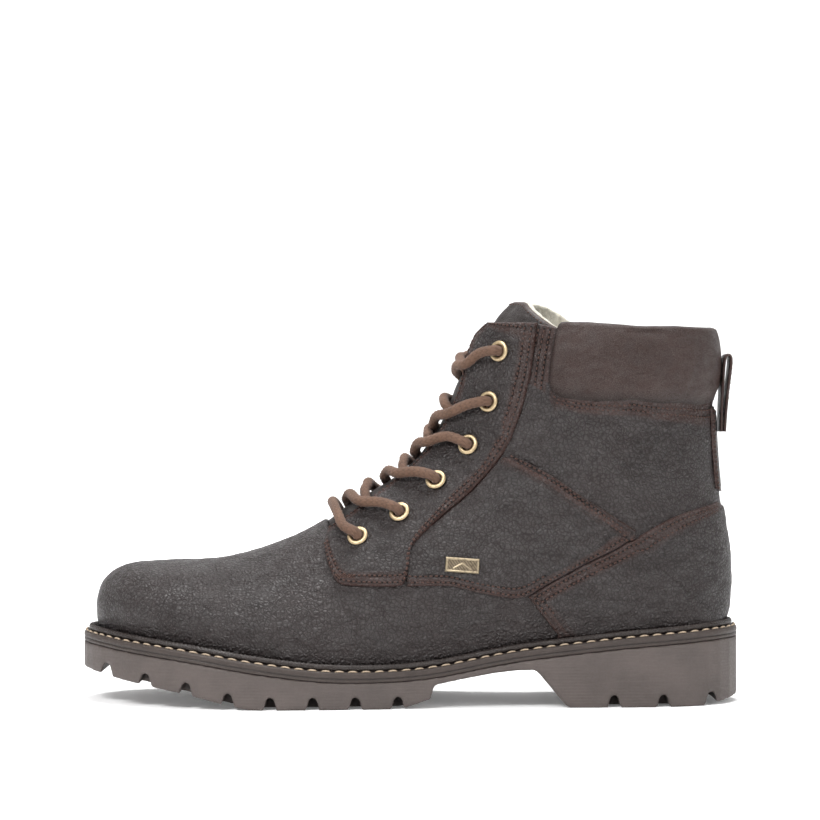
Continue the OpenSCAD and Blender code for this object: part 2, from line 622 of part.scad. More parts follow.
// ---- Bottom ----
// Plate that follows the feather line, from rung a_first to a_last of the outline
module plate(inset, low, high, a_first, a_last, rungs) {
    as = [for (i = [0:rungs]) a_first + (a_last - a_first) * i / rungs];
    pts = [for (a = as)
        let (m = outline_at(a, inset), l = outline_at(OUTLINE_N - a, inset))
        each [[l[0], l[1], feather(l[0]) + low], [m[0], m[1], feather(m[0]) + low],
              [m[0], m[1], feather(m[0]) + high], [l[0], l[1], feather(l[0]) + high]]];
    polyhedron(pts, [
        for (i = [0:rungs - 1], k = [0:3])
            let (a = 4 * i + k, b = 4 * i + (k + 1) % 4)
            each [[a, b + 4, b], [a, a + 4, b + 4]],
        [0, 1, 2, 3],
        [4 * rungs + 3, 4 * rungs + 2, 4 * rungs + 1, 4 * rungs]
    ]);
}

// Closed band round the outline; the section is a list of [inset, height over the feather line]
module band(section, stations) {
    n = len(section);
    pts = [for (i = [0:stations - 1])
        for (s = section)
            let (p = outline_at(OUTLINE_N * i / stations, s[0])) [p[0], p[1], feather(p[0]) + s[1]]];
    polyhedron(pts, [
        for (i = [0:stations - 1], k = [0:n - 1])
            let (a = i * n + k, b = i * n + (k + 1) % n,
                 c = ((i + 1) % stations) * n + (k + 1) % n, d = ((i + 1) % stations) * n + k)
            each [[a, b, c], [a, c, d]]
    ]);
}

TREAD_LINE = [
    [-156, 16.2], [-141, 13.5], [-130, 11.5], [-118, 9.5], [-103, 7], [-92, 4.6], [-82, 2],
    [-72, 0], [-4, 0], [9, 4.2], [11, 10.5], [22, 12.8], [37, 15.5], [48, 16.8], [56, 17],
    [58, 15.5], [70, 1.2], [72, 0], [134, 0], [149, 2.8], [156, 4]
];
groove_top = 2.7;
groove_bottom = 5.6;
GROOVES = concat([for (i = [0:7]) -138.4 + 19 * i], [92, 114.4, 136.8]);
HALF_GROOVES = concat([for (i = [1:6]) -128.9 + 19 * i], [103.2, 125.6]);

module foot_shape(inset, per = 3) {
    polygon([for (i = [0:OUTLINE_N * per - 1]) outline_at(i / per, inset)]);
}
module side_profile(points) {
    rotate([90, 0, 0]) linear_extrude(160, center = true) polygon(points);
}
module groove(x) {
    z = grade * lookup(x, TREAD_LINE);
    side_profile([
        [grade * x - groove_bottom / 2 - 0.4, z - 4], [grade * x + groove_bottom / 2 + 0.4, z - 4],
        [grade * x + groove_bottom / 2, z + 0.5], [grade * x + groove_top / 2, z + tread_depth],
        [grade * x - groove_top / 2, z + tread_depth], [grade * x - groove_bottom / 2, z + 0.5]
    ]);
}
module outsole() {
    top_line = [for (i = [0:38]) let (x = 156 - 312 * i / 38)
        [grade * x, feather(grade * x) + welt_bottom - 0.1]];
    color("#6e655c")
        difference() {
            intersection() {
                linear_extrude(60) foot_shape(0);
                side_profile(concat(grade * TREAD_LINE, top_line));
            }
            difference() {
                union() { for (x = GROOVES) groove(x); }
                translate([0, 0, -10]) linear_extrude(80) foot_shape(14, 2);
            }
            intersection() {
                union() { for (x = HALF_GROOVES) groove(x); }
                translate([0, 0, -10]) linear_extrude(80) foot_shape(19, 2);
            }
        }
}

module welt() {
    color("#2a211d") band([[0.4, welt_bottom], [12, welt_bottom], [12, welt_top], [0.4, welt_top]], 66);
}
module rand() {
    color("#1d1715")
        band([[5.2, welt_top + 0.1], [5.2, -0.7], [4.2, -0.3], [3.1, -0.9], [2.4, -2.6],
              [2.9, welt_top + 0.1]], 66);
}

stitch_d = 1.1;
outline_length = grade * 735;
module welt_thread() {
    count = floor(outline_length / stitch_pitch);
    color("#cfc3a6")
        for (i = [0:count - 1]) {
            a = OUTLINE_N * i / count;
            p = outline_at(a, 1.4);
            q = outline_at(a + 0.1, 1.4);
            z = feather(p[0]) + welt_top + stitch_d / 2 + 0.1;
            rise = feather(q[0]) - feather(p[0]);
            d = [q[0] - p[0], q[1] - p[1], rise] / norm([q[0] - p[0], q[1] - p[1], rise]);
            translate([p[0], p[1], z])
                rotate([0, acos(d[2]), atan2(d[1], d[0])])
                cylinder(d = stitch_d, h = stitch_pitch * 0.62, center = true, $fn = 6);
        }
}

module insole_board() { color("#b09468") plate(9.6, board_bottom, board_top, 0.45, 10.6, 30); }

shank_t = 1.2;
module sole_strip(x_from, x_to, half_w, low, high, steps) {
    pts = [for (i = [0:steps])
        let (x = grade * (x_from + (x_to - x_from) * i / steps), z = feather(x), y = -4)
        each [[x, y - half_w, z + low], [x, y + half_w, z + low],
              [x, y + half_w, z + high], [x, y - half_w, z + high]]];
    polyhedron(pts, [
        for (i = [0:steps - 1], k = [0:3])
            let (a = 4 * i + k, b = 4 * i + (k + 1) % 4)
            each [[a, b + 4, b], [a, a + 4, b + 4]],
        [0, 1, 2, 3],
        [4 * steps + 3, 4 * steps + 2, 4 * steps + 1, 4 * steps]
    ]);
}
module shank() {
    color("#8d9196")
        sole_strip(-12, 98, shank_w / 2, board_bottom - 0.2 - shank_t, board_bottom - 0.2, 14);
}
module bottom_filler() {
    color("#8c6f4d")
        difference() {
            plate(12.4, welt_bottom + 0.1, board_bottom - 0.1, 0.5, 10.5, 28);
            sole_strip(-12.5, 98.5, shank_w / 2 + 0.2, board_bottom - 0.4 - shank_t,
                board_bottom + 1, 14);
        }
}
module footbed() {
    color("#d9d0bd") plate(15.6, footbed_bottom, footbed_bottom + footbed_t, 1.35, 10.5, 28);
}

outsole();
welt();
rand();
welt_thread();
insole_board();
shank();
bottom_filler();
footbed();
vamp();
quarter_lateral();
quarter_medial();
facing_lateral();
facing_medial();
shaft_panel_lateral();
shaft_panel_medial();
counter_patch_lateral();
counter_patch_medial();
back_stay();
toe_puff();
heel_counter();
insulation_forefoot();
insulation_lateral();
insulation_medial();
lining_forefoot();
lining_lateral();
lining_medial();
collar();
collar_foam();
tongue();
tongue_foam();
tongue_lining();
eyelets_lateral();
eyelets_medial();
eyelet_washers_lateral();
eyelet_washers_medial();
lace();
aglets();
badge();
pull_loop();
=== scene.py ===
"""Looks of the insulated lace-up boot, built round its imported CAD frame."""
import math

import bmesh
import bpy
import numpy as np
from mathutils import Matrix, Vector


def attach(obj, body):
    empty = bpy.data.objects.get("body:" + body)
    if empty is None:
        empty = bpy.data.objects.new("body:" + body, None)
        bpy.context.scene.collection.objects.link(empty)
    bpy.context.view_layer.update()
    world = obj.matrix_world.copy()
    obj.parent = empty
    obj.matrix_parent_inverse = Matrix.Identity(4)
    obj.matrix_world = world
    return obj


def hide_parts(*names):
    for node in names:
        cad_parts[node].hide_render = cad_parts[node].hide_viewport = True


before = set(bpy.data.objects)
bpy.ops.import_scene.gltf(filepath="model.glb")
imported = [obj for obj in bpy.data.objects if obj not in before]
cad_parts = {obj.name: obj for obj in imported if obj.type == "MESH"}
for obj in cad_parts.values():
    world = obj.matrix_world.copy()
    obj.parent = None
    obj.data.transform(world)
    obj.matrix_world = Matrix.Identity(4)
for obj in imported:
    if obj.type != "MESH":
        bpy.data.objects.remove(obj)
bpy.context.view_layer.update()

MM = 0.001
LATERAL, MEDIAL = -1, 1

# ---- The last, in millimetres: the same rings and outline as the CAD part ----
RINGS = np.array([
    [-146.0, 38.0, -145.4, 36.0, 3.4, 4.0, 3.4, 4.0, 7.0],
    [-145.6, 48.0, -141.5, 35.6, 15.0, 16.0, 15.0, 16.0, 6.5],
    [-141.5, 56.5, -134.0, 34.6, 25.0, 26.0, 25.0, 26.0, 6.0],
    [-131.0, 62.6, -121.0, 33.0, 35.0, 36.0, 35.0, 36.0, 4.0],
    [-112.0, 64.6, -97.0, 30.0, 44.0, 45.0, 44.0, 45.0, 1.5],
    [-84.0, 66.4, -66.0, 25.0, 47.5, 48.5, 47.5, 48.5, 0.0],
    [-54.0, 76.0, -33.0, 21.5, 45.5, 47.0, 43.0, 45.5, 0.0],
    [-27.0, 91.0, 6.0, 22.5, 38.5, 42.0, 33.5, 38.0, -2.0],
    [-2.0, 107.0, 48.0, 30.0, 33.5, 39.5, 28.0, 34.5, -3.0],
    [11.0, 122.0, 94.0, 35.5, 32.5, 38.0, 29.0, 34.5, -2.0],
    [16.0, 131.0, 127.0, 38.2, 26.5, 37.0, 26.5, 34.5, -2.0],
    [18.5, 137.5, 139.5, 39.2, 18.0, 37.0, 18.0, 35.0, -2.0],
    [20.5, 143.0, 146.2, 41.0, 0.0, 37.0, 0.0, 35.0, -2.0],
    [23.5, 152.0, 147.8, 66.0, 0.0, 37.0, 0.0, 35.5, -2.0],
    [26.5, 162.0, 143.0, 100.0, 0.0, 37.0, 0.0, 36.0, -1.0],
    [30.5, 171.5, 140.8, 135.0, 0.0, 39.5, 0.0, 39.0, 0.0],
    [35.5, 181.0, 141.3, 172.0, 0.0, 42.5, 0.0, 42.5, 0.0],
    [41.0, 191.0, 142.0, 184.0, 0.0, 44.0, 0.0, 44.0, 0.0],
])
OUTLINE = np.array([
    [-152, 6], [-147, 25], [-132, 41], [-106, 51], [-70, 54], [-34, 50], [4, 39], [44, 32],
    [84, 33], [118, 34.5], [140, 25], [151.5, -2], [141, -27], [118, -38.5], [84, -41.5],
    [44, -43], [4, -47], [-34, -52.5], [-68, -54], [-100, -49], [-128, -34], [-146, -14],
], float)
OUTLINE_N = len(OUTLINE)
LAST_RING = len(RINGS) - 1
LAST_WIDEST = 12

LEATHER = 1.4
WADDING_OUT = -3.05
WADDING_IN = -4.05
LINING_OUT = -4.45
LINING_IN = -6.55
OVERLAY_IN = 0.1
OVERLAY_OUT = 1.55
FACING_OUT = 2.6
WELT_TOP = -4.6
WELT_BOTTOM = -9.4
SEAM_DEPTH = 0.34
FAR = 99.0

# Rough millimetres in one step of t or u, where edges and seams are measured off
COLLAR_MM_PER_T = 33.0
FRONT_MM_PER_U = 175.0
TOP_MM_PER_T = 28
TONGUE_MM_PER_U = 190
STAY_MM_PER_U = 135
STAY_MM_PER_T = 34
FOOTBED_MM_PER_W = 38
FOOTBED_MM_PER_A = 26


def crom(rows, t):
    """Points of a Catmull-Rom curve through the rows."""
    t = np.asarray(t, float)
    last = len(rows) - 1
    i = np.clip(np.floor(t).astype(int), 0, last - 1)
    f = (t - i)[..., None]
    a, b, c, d = (rows[np.clip(i + k, 0, last)] for k in (-1, 0, 1, 2))
    return 0.5 * (2 * b + (c - a) * f + (2 * a - 5 * b + 4 * c - d) * f**2
                  + (3 * b - a - 3 * c + d) * f**3)


def crom_loop(rows, t):
    t = np.asarray(t, float)
    n = len(rows)
    i = np.floor(t).astype(int)
    f = (t - i)[..., None]
    a, b, c, d = (rows[(i + k) % n] for k in (-1, 0, 1, 2))
    return 0.5 * (2 * b + (c - a) * f + (2 * a - 5 * b + 4 * c - d) * f**2
                  + (3 * b - a - 3 * c + d) * f**3)


def ring_angles(r, side_is_lateral):
    low = np.maximum(0, np.where(side_is_lateral, r[..., 4], r[..., 6]))
    wide = np.maximum(0.01, np.where(side_is_lateral, r[..., 5], r[..., 7]))
    return wide, np.arcsin(np.minimum(1, low / wide))


def skin(t, u, o=0.0):
    """Points of the upper: ring t, place u across it, o millimetres out from the last."""
    t, u, o = np.broadcast_arrays(np.asarray(t, float), np.asarray(u, float), np.asarray(o, float))
    r = crom(RINGS, np.clip(t, 0, LAST_RING))
    wide, start = ring_angles(r, u < 0)
    side = np.where(u < 0, -1.0, 1.0)
    turn = start + np.maximum(0, 1 - np.abs(u)) * (math.pi - start)
    foot = r[..., 2:4]
    chord = r[..., 0:2] - foot
    along = chord / np.linalg.norm(chord, axis=-1, keepdims=True)
    c = (np.cos(start) - np.cos(turn)) / (1 + np.cos(start))
    q = foot + c[..., None] * chord - along * (np.cos(turn) * o)[..., None]
    y = r[..., 8] + side * (wide + o) * np.sin(turn)
    z = q[..., 1] - np.maximum(0, np.abs(u) - 1) * 100
    return np.stack([q[..., 0], y, z], axis=-1)


def place(points, side):
    """[t, u] of points given in the side view."""
    p = np.asarray(points, float)

    def cross(t):
        r = crom(RINGS, t)
        v, w = r[..., 0:2] - r[..., 2:4], p - r[..., 2:4]
        return v[..., 0] * w[..., 1] - v[..., 1] * w[..., 0]

    lo, hi = np.zeros(len(p)), np.full(len(p), float(LAST_RING))
    first = cross(lo)
    for _ in range(30):
        mid = (lo + hi) / 2
        same = cross(mid) * first > 0
        lo, hi = np.where(same, mid, lo), np.where(same, hi, mid)
    t = (lo + hi) / 2
    r = crom(RINGS, t)
    _, start = ring_angles(r, np.full(len(p), side == LATERAL))
    foot, v = r[:, 2:4], r[:, 0:2] - r[:, 2:4]
    c = np.sum((p - foot) * v, 1) / np.sum(v * v, 1)
    turn = np.arccos(np.clip(np.cos(start) - c * (1 + np.cos(start)), -1, 1))
    return np.stack([t, side * (1 - (turn - start) / (math.pi - start))], axis=1)


def normal(t, u):
    """Outward normals of the upper."""
    dt = skin(t + 0.02, u) - skin(t - 0.02, u)
    du = skin(t, u + 0.004) - skin(t, u - 0.004)
    n = np.cross(dt, du)
    return n / np.linalg.norm(n, axis=-1, keepdims=True)


def outline_at(a, inset):
    s = np.asarray(a, float) % OUTLINE_N
    d = crom_loop(OUTLINE, s + 0.05) - crom_loop(OUTLINE, s - 0.05)
    n = np.stack([d[..., 1], -d[..., 0]], -1) / np.linalg.norm(d, axis=-1, keepdims=True)
    return crom_loop(OUTLINE, s) + np.asarray(inset)[..., None] * n


FEATHER_POINTS = np.concatenate([[[-156, 37]], RINGS[1:12, 2:4], [[156, 39.6]]])
FEATHER_FINE = crom(FEATHER_POINTS, np.arange(0, 12.01, 0.25))


def feather(x):
    return np.interp(x, FEATHER_FINE[:, 0], FEATHER_FINE[:, 1])


def table(rows, x):
    """Straight-line look-up in [x, value] rows."""
    rows = np.asarray(rows, float)
    return np.interp(x, rows[:, 0], rows[:, 1])


# ---- Small geometry helpers ----
def ripple(p, wave, seed, octaves=3):
    """Smooth repeatable noise, about -1 to 1, from sines in many directions."""
    rng = np.random.default_rng(seed)
    total = np.zeros(p.shape[:-1])
    size = 0.0
    for k in range(octaves):
        for _ in range(5):
            d = rng.normal(size=3)
            d /= np.linalg.norm(d)
            w = wave / 1.8**k * rng.uniform(0.7, 1.4)
            total = total + np.sin(p @ d * 2 * math.pi / w + rng.uniform(0, 6.3)) / 1.6**k
        size += 2.2 / 1.6**k
    return total / size


def rounding(d, radius):
    """How far a rounded edge lies below the surface at distance d from the edge."""
    x = np.clip(1 - d / radius, 0, 1)
    return radius * (1 - np.sqrt(1 - x * x))


def groove(d, at, width=0.75):
    return np.exp(-(((d - at) / width) ** 2))


def shell_faces(rows, cols):
    """Quads of a closed sheet: outer grid first, then the inner grid of the same size."""
    n = rows * cols
    a = (np.arange(rows - 1)[:, None] * cols + np.arange(cols - 1)[None, :]).ravel()
    outer = np.stack([a, a + 1, a + 1 + cols, a + cols], 1)
    inner = n + outer[:, ::-1]
    j = np.arange(cols - 1)
    k = (rows - 1) * cols + j
    i = np.arange(rows - 1) * cols
    e = i + cols - 1
    sides = [
        np.stack([j + 1, j, n + j, n + j + 1], 1),
        np.stack([k, k + 1, n + k + 1, n + k], 1),
        np.stack([i, i + cols, n + i + cols, n + i], 1),
        np.stack([e + cols, e, n + e, n + e + cols], 1),
    ]
    return np.concatenate([outer, inner, *sides])


def ring_faces(rings, sides, closed=False):
    """Quads between rings of points, the last ring joined to the first if it is closed."""
    faces = []
    for i in range(rings if closed else rings - 1):
        m = (i + 1) % rings
        for k in range(sides):
            j = (k + 1) % sides
            faces.append((i * sides + k, i * sides + j, m * sides + j, m * sides + k))
    return faces


def caps(rings, sides):
    """The two end faces that close a row of rings."""
    first = tuple(range(sides))
    last = tuple((rings - 1) * sides + k for k in first)
    return [first, last[::-1]]


def make(name, verts, faces, material, body="boot", marks=None, smooth=True):
    """A mesh object in the row frame from millimetre vertices, riding on a CAD body."""
    mesh = bpy.data.meshes.new(name)
    verts = np.asarray(verts, float).reshape(-1, 3) * MM
    mesh.from_pydata(verts.tolist(), [], [list(map(int, f)) for f in faces])
    mesh.update()
    for key, values in (marks or {}).items():
        attribute = mesh.attributes.new(key, "FLOAT", "POINT")
        attribute.data.foreach_set("value", np.asarray(values, np.float32).ravel())
    mesh.polygons.foreach_set("use_smooth", [smooth] * len(mesh.polygons))
    mesh.materials.append(material)
    ob = bpy.data.objects.new(name, mesh)
    bpy.context.scene.collection.objects.link(ob)
    if body:
        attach(ob, body)
    return ob


def shell(name, node, outer, inner, material, body="boot", marks=None):
    """A closed sheet from two grids, in place of a CAD node; marks are (outside, inside)."""
    verts = np.concatenate([outer.reshape(-1, 3), inner.reshape(-1, 3)])
    full = {key: np.concatenate([on.ravel(), np.full(on.size, float(within))])
            for key, (on, within) in (marks or {}).items()}
    ob = make(name, verts, shell_faces(*outer.shape[:2]), material, body, full)
    mend_normals(ob)
    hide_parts(node)
    return ob


def mend_normals(ob):
    """Turns every face of a closed mesh outwards."""
    bm = bmesh.new()
    bm.from_mesh(ob.data)
    bmesh.ops.recalc_face_normals(bm, faces=bm.faces)
    bm.to_mesh(ob.data)
    bm.free()


def soften(p, rounds):
    """Rounds off a line's corners in place; its ends stay."""
    for _ in range(rounds):
        p[1:-1] = 0.25 * p[:-2] + 0.5 * p[1:-1] + 0.25 * p[2:]
    return p


def smooth_line(points, sub=8, rounds=6):
    """Fine line through hand-set points, its corners softened; its ends stay."""
    p = np.asarray(points, float)
    x = np.arange(0, len(p) - 1 + 1e-9, 1 / sub)
    q = np.stack([np.interp(x, np.arange(len(p)), p[:, k]) for k in range(p.shape[1])], 1)
    return soften(q, rounds)


def lengths(p):
    """Running length of a line of points."""
    d = np.linalg.norm(np.diff(p, axis=-2), axis=-1)
    return np.concatenate([np.zeros(d.shape[:-1] + (1,)), np.cumsum(d, -1)], -1)


def seam_line(points, side):
    return place(smooth_line(points), side)


def resample(p, step):
    s = lengths(p)
    n = max(2, int(s[-1] / step) + 1)
    x = np.linspace(0, s[-1], n)
    return np.stack([np.interp(x, s, p[:, k]) for k in range(p.shape[1])], 1)


EDGE_STEPS = np.array([0.0, 0.18, 0.45, 0.85, 1.4])


def spread(total, step):
    """Places along a width: close together near both edges, even between them."""
    inner = np.linspace(2.2, total - 2.2, max(2, int((total - 4.4) / step)))
    return np.concatenate([EDGE_STEPS, inner, (total - EDGE_STEPS)[::-1]])


# ---- Materials ----
class Graph:
    """A short way to write a material's nodes."""

    def __init__(self, name):
        self.mat = bpy.data.materials.new(name)
        self.mat.use_nodes = True
        self.tree = self.mat.node_tree
        self.tree.nodes.clear()
        self.out = self.tree.nodes.new("ShaderNodeOutputMaterial")
        self.place = self.add("TexCoord").outputs["Object"]

    def add(self, kind, settings=None, **inputs):
        node = self.tree.nodes.new("ShaderNode" + kind)
        for key, value in (settings or {}).items():
            setattr(node, key, value)
        for key, value in inputs.items():
            socket = node.inputs[key.replace("_", " ")]
            self.feed(socket, value)
        return node

    def feed(self, socket, value):
        if isinstance(value, bpy.types.NodeSocket):
            self.tree.links.new(value, socket)
        elif isinstance(value, tuple) and len(value) == 3 and socket.type == "RGBA":
            socket.default_value = (*value, 1)
        else:
            socket.default_value = value

    def noise(self, scale, detail=3.0, roughness=0.55, distortion=0.0, place=None):
        node = self.add("TexNoise", Vector=place or self.place, Scale=scale, Detail=detail,
                        Roughness=roughness, Distortion=distortion)
        return node.outputs["Fac"]

    def math(self, operation, a, b=0.0, clamp=False):
        node = self.add("Math", {"operation": operation, "use_clamp": clamp})
        self.feed(node.inputs[0], a)
        self.feed(node.inputs[1], b)
        return node.outputs[0]

    def span(self, value, low, high, to_low=0.0, to_high=1.0):
        node = self.add("MapRange", {"interpolation_type": "SMOOTHSTEP"}, Value=value)
        for key, v in zip((1, 2, 3, 4), (low, high, to_low, to_high)):
            node.inputs[key].default_value = v
        return node.outputs[0]

    def mix(self, factor, a, b, blend="MIX"):
        node = self.add("Mix", {"data_type": "RGBA", "blend_type": blend})
        self.feed(node.inputs[0], factor)
        self.feed(node.inputs[6], a)
        self.feed(node.inputs[7], b)
        return node.outputs[2]

    def mark(self, name):
        return self.add("Attribute", {"attribute_name": name}).outputs["Fac"]

    def stretch(self, x, y, z, place=None):
        node = self.add("Mapping", Vector=place or self.place)
        node.inputs["Scale"].default_value = (x, y, z)
        return node.outputs[0]

    def bump(self, height, distance, strength=1.0, under=None):
        node = self.add("Bump", Height=height, Distance=distance, Strength=strength)
        if under is not None:
            self.feed(node.inputs["Normal"], under)
        return node.outputs[0]

    def finish(self, **inputs):
        node = self.add("BsdfPrincipled", **inputs)
        self.tree.links.new(node.outputs[0], self.out.inputs["Surface"])
        return self.mat


def dim(colour, share):
    """A colour made darker or lighter."""
    return tuple(share * c for c in colour)


def leather(name, base, worn, cell=1.9, grain=0.00062, rough=0.4, wrinkle=0.001,
            shine=0.5):
    """Grained leather: pebbles between creases, painted shade in the creases, soft wrinkles,
    rubbed and raw edges, and painted shade wherever the seam mark says so.
    """
    g = Graph(name)
    wob = g.add("TexNoise", Vector=g.place, Scale=330.0, Detail=3.0)
    shift = g.add("VectorMath", {"operation": "SCALE"}, Vector=wob.outputs["Color"],
                  Scale=0.001 * cell)
    bent = g.add("VectorMath", {"operation": "ADD"})
    g.feed(bent.inputs[0], g.place)
    g.feed(bent.inputs[1], shift.outputs[0])
    cells = g.add("TexVoronoi", {"feature": "DISTANCE_TO_EDGE"}, Vector=bent.outputs[0],
                  Scale=1000.0 / cell, Randomness=1.0)
    hues = g.add("TexVoronoi", {"feature": "F1"}, Vector=bent.outputs[0], Scale=1000.0 / cell)
    line_place = g.stretch(1.0, 1.0, 1.7)
    lines = g.noise(330.0 / cell, 3.0, 0.6, 1.5, line_place)
    crease = g.span(g.math("ABSOLUTE", g.math("SUBTRACT", lines, 0.5)), 0.0, 0.035)
    pebble = g.span(cells.outputs["Distance"], 0.0, 0.2, 0.25, 1.0)
    pebble = g.math("MULTIPLY", pebble, g.span(crease, 0.0, 1.0, 0.55, 1.0), True)
    fine = g.noise(3200.0, 2.0)
    broad = g.noise(38.0, 4.0, 0.6)
    patchy = g.noise(160.0, 4.0, 0.6)
    fold_place = g.stretch(1.0, 1.0, 2.2)
    folds = g.noise(75.0, 5.0, 0.62, 1.2, fold_place)
    edge = g.mark("edge")
    rub = g.mark("worn")
    tone = g.mix(g.span(broad, 0.3, 0.7), dim(base, 0.82), dim(base, 1.22))
    tone = g.mix(g.span(patchy, 0.35, 0.75, 0.0, 0.35), tone, dim(base, 1.5))
    # Painted shade: the creases between the pebbles are darkened.
    tone = g.mix(g.math("MULTIPLY", g.math("SUBTRACT", 1.0, pebble), 0.6), tone,
                 dim(base, 0.3))
    cellular = g.add("SeparateColor", Color=hues.outputs["Color"]).outputs[0]
    tone = g.mix(g.math("MULTIPLY", cellular, 0.16), tone, dim(base, 1.6))
    worn_here = g.math("MULTIPLY", rub, g.span(patchy, 0.25, 0.65, 0.45, 1.0), True)
    tone = g.mix(worn_here, tone, worn)
    tone = g.mix(g.math("MULTIPLY", edge, 0.8), tone, dim(worn, 1.25))
    # Painted shade where the seam mark says so: sunk seam grooves and the collar's tucked lower
    # edge.
    tone = g.mix(g.math("MULTIPLY", g.mark("seam"), 0.7), tone, dim(base, 0.2))
    dome = g.math("MULTIPLY", g.span(cells.outputs["Distance"], 0.0, 0.55),
                  g.span(crease, 0.0, 1.0, 0.4, 1.0))
    depth = g.math("ADD", g.math("MULTIPLY", dome, g.span(broad, 0.2, 0.8, 0.65, 1.0)),
                   g.math("MULTIPLY", fine, 0.22))
    small = g.bump(depth, grain, 1.0)
    both = g.bump(folds, wrinkle, 1.0, small)
    rougher = g.math("ADD", g.span(patchy, 0.3, 0.7, rough - 0.06, rough + 0.08),
                     g.math("MULTIPLY", g.math("SUBTRACT", 1.0, pebble), 0.2))
    glint = g.math("MULTIPLY", g.span(pebble, 0.0, 1.0, 0.5 * shine, shine),
                   g.span(folds, 0.3, 0.7, 0.7, 1.15))
    return g.finish(Base_Color=tone, Roughness=rougher, Normal=both, Specular_IOR_Level=glint,
                    IOR=1.5)


def rubber(name, base, lines=True):
    """Moulded rubber: fine specks, scuffs, painted shade in its hollows and faint lines along its
    sides.
    """
    g = Graph(name)
    broad = g.noise(45.0, 4.0, 0.6)
    speck = g.noise(900.0, 3.0, 0.7)
    scuff = g.noise(260.0, 5.0, 0.7, 0.6, g.stretch(0.25, 0.25, 2.5))
    side = g.mark("side")
    tone = g.mix(g.span(broad, 0.3, 0.7), dim(base, 0.86), dim(base, 1.12))
    tone = g.mix(g.span(scuff, 0.55, 0.8, 0.0, 0.3), tone, dim(base, 1.5))
    # Painted shade wherever the deep mark says so.
    tone = g.mix(g.math("MULTIPLY", g.mark("deep"), 0.75), tone, dim(base, 0.25))
    height = g.math("MULTIPLY", speck, 0.35)
    if lines:
        wave = g.add("TexWave", {"wave_type": "BANDS", "bands_direction": "Z"}, Vector=g.place,
                     Scale=230.0, Distortion=0.25, Detail=1.0).outputs["Fac"]
        height = g.math("ADD", height, g.math("MULTIPLY", g.math("MULTIPLY", wave, side), 0.5))
    bump = g.bump(height, 0.00012, 0.8)
    return g.finish(Base_Color=tone, Roughness=g.span(speck, 0.3, 0.7, 0.5, 0.68), Normal=bump,
                    Specular_IOR_Level=0.42)


def fleece(name, base, fluff=0.0012):
    """Curly wool pile, lighter on its clumps and with some light passing through."""
    g = Graph(name)
    clump = g.noise(330.0, 4.0, 0.7, 0.8)
    fibre = g.noise(2600.0, 4.0, 0.8, 1.5)
    curl = g.add("TexVoronoi", {"feature": "SMOOTH_F1"}, Vector=g.place, Scale=520.0)
    shade = g.math("ADD", g.math("MULTIPLY", clump, 0.6), g.math("MULTIPLY", fibre, 0.4))
    tone = g.mix(g.span(shade, 0.3, 0.68), dim(base, 0.62), base)
    depth = g.math("ADD", g.math("MULTIPLY", curl.outputs["Distance"], -0.9), shade)
    return g.finish(Base_Color=tone, Roughness=0.95, Normal=g.bump(depth, fluff, 0.9),
                    Sheen_Weight=0.5, Sheen_Roughness=0.6, Subsurface_Weight=0.15,
                    Subsurface_Radius=(0.002, 0.0016, 0.0012), Specular_IOR_Level=0.15)


def woven(name, base, thread=0.0009, rough=0.85, deep=0.4):
    """Plain woven or felted sheet: crossing threads with uneven tone."""
    g = Graph(name)
    crossing = [g.add("TexWave", {"bands_direction": direction}, Vector=g.place,
                      Scale=0.16 / thread, Distortion=1.0, Detail=1.0).outputs["Fac"]
                for direction in ("X", "Z")]
    cross = g.math("MAXIMUM", *crossing)
    mottled = g.noise(140.0, 5.0, 0.7)
    tone = g.mix(g.span(mottled, 0.3, 0.7), tuple(deep * c for c in base), base)
    tone = g.mix(g.math("MULTIPLY", g.math("SUBTRACT", 1.0, cross), 0.35), tone,
                 dim(base, 0.4))
    height = g.math("ADD", cross, g.math("MULTIPLY", g.noise(1500.0), 0.4))
    return g.finish(Base_Color=tone, Roughness=rough, Normal=g.bump(height, 0.0002, 0.7),
                    Specular_IOR_Level=0.25)


def cordage(name, base, dark):
    """Braided lace: the braid is in the geometry, this adds fibres, tone and painted shade in the
    valleys between its strands.
    """
    g = Graph(name)
    fibre = g.noise(2600.0, 3.0, 0.7)
    broad = g.noise(120.0, 3.0)
    valley = g.mark("valley")
    tone = g.mix(g.span(broad, 0.3, 0.7), dim(base, 0.85), dim(base, 1.15))
    tone = g.mix(g.span(fibre, 0.35, 0.75, 0.0, 0.5), tone, dim(base, 1.6))
    # Painted shade wherever the valley mark says so.
    tone = g.mix(g.math("MULTIPLY", valley, 0.85), tone, dark)
    return g.finish(Base_Color=tone, Roughness=0.8, Normal=g.bump(fibre, 0.00012, 0.8),
                    Sheen_Weight=0.08, Sheen_Roughness=0.5, Specular_IOR_Level=0.25)


def metal(name, base, dark, rough=0.3, aged=0.6):
    """Brushed metal, darkened in patches and wherever its valley mark says so."""
    g = Graph(name)
    grime = g.noise(520.0, 5.0, 0.65)
    brush = g.noise(900.0, 3.0, 0.6, 0.0, g.stretch(0.12, 1.0, 1.0))
    tone = g.mix(g.span(grime, 0.45, 0.75, 0.0, aged), base, dark)
    tone = g.mix(g.math("MULTIPLY", g.mark("valley"), 0.85), tone, dark)
    return g.finish(Base_Color=tone, Metallic=1.0, Normal=g.bump(brush, 0.00003, 0.5),
                    Roughness=g.span(grime, 0.3, 0.75, rough, rough + 0.25))


def thread(name, base, hole):
    """Twisted thread; the valley mark paints shade into its needle holes and onto its ends."""
    g = Graph(name)
    twist = g.noise(3200.0, 2.0)
    tone = g.mix(g.span(twist, 0.3, 0.7), dim(base, 0.7), dim(base, 1.2))
    # Painted shade: the hole colour on needle holes and thread ends.
    tone = g.mix(g.mark("valley"), tone, hole)
    return g.finish(Base_Color=tone, Roughness=0.7, Normal=g.bump(twist, 0.00008, 0.7),
                    Specular_IOR_Level=0.3)


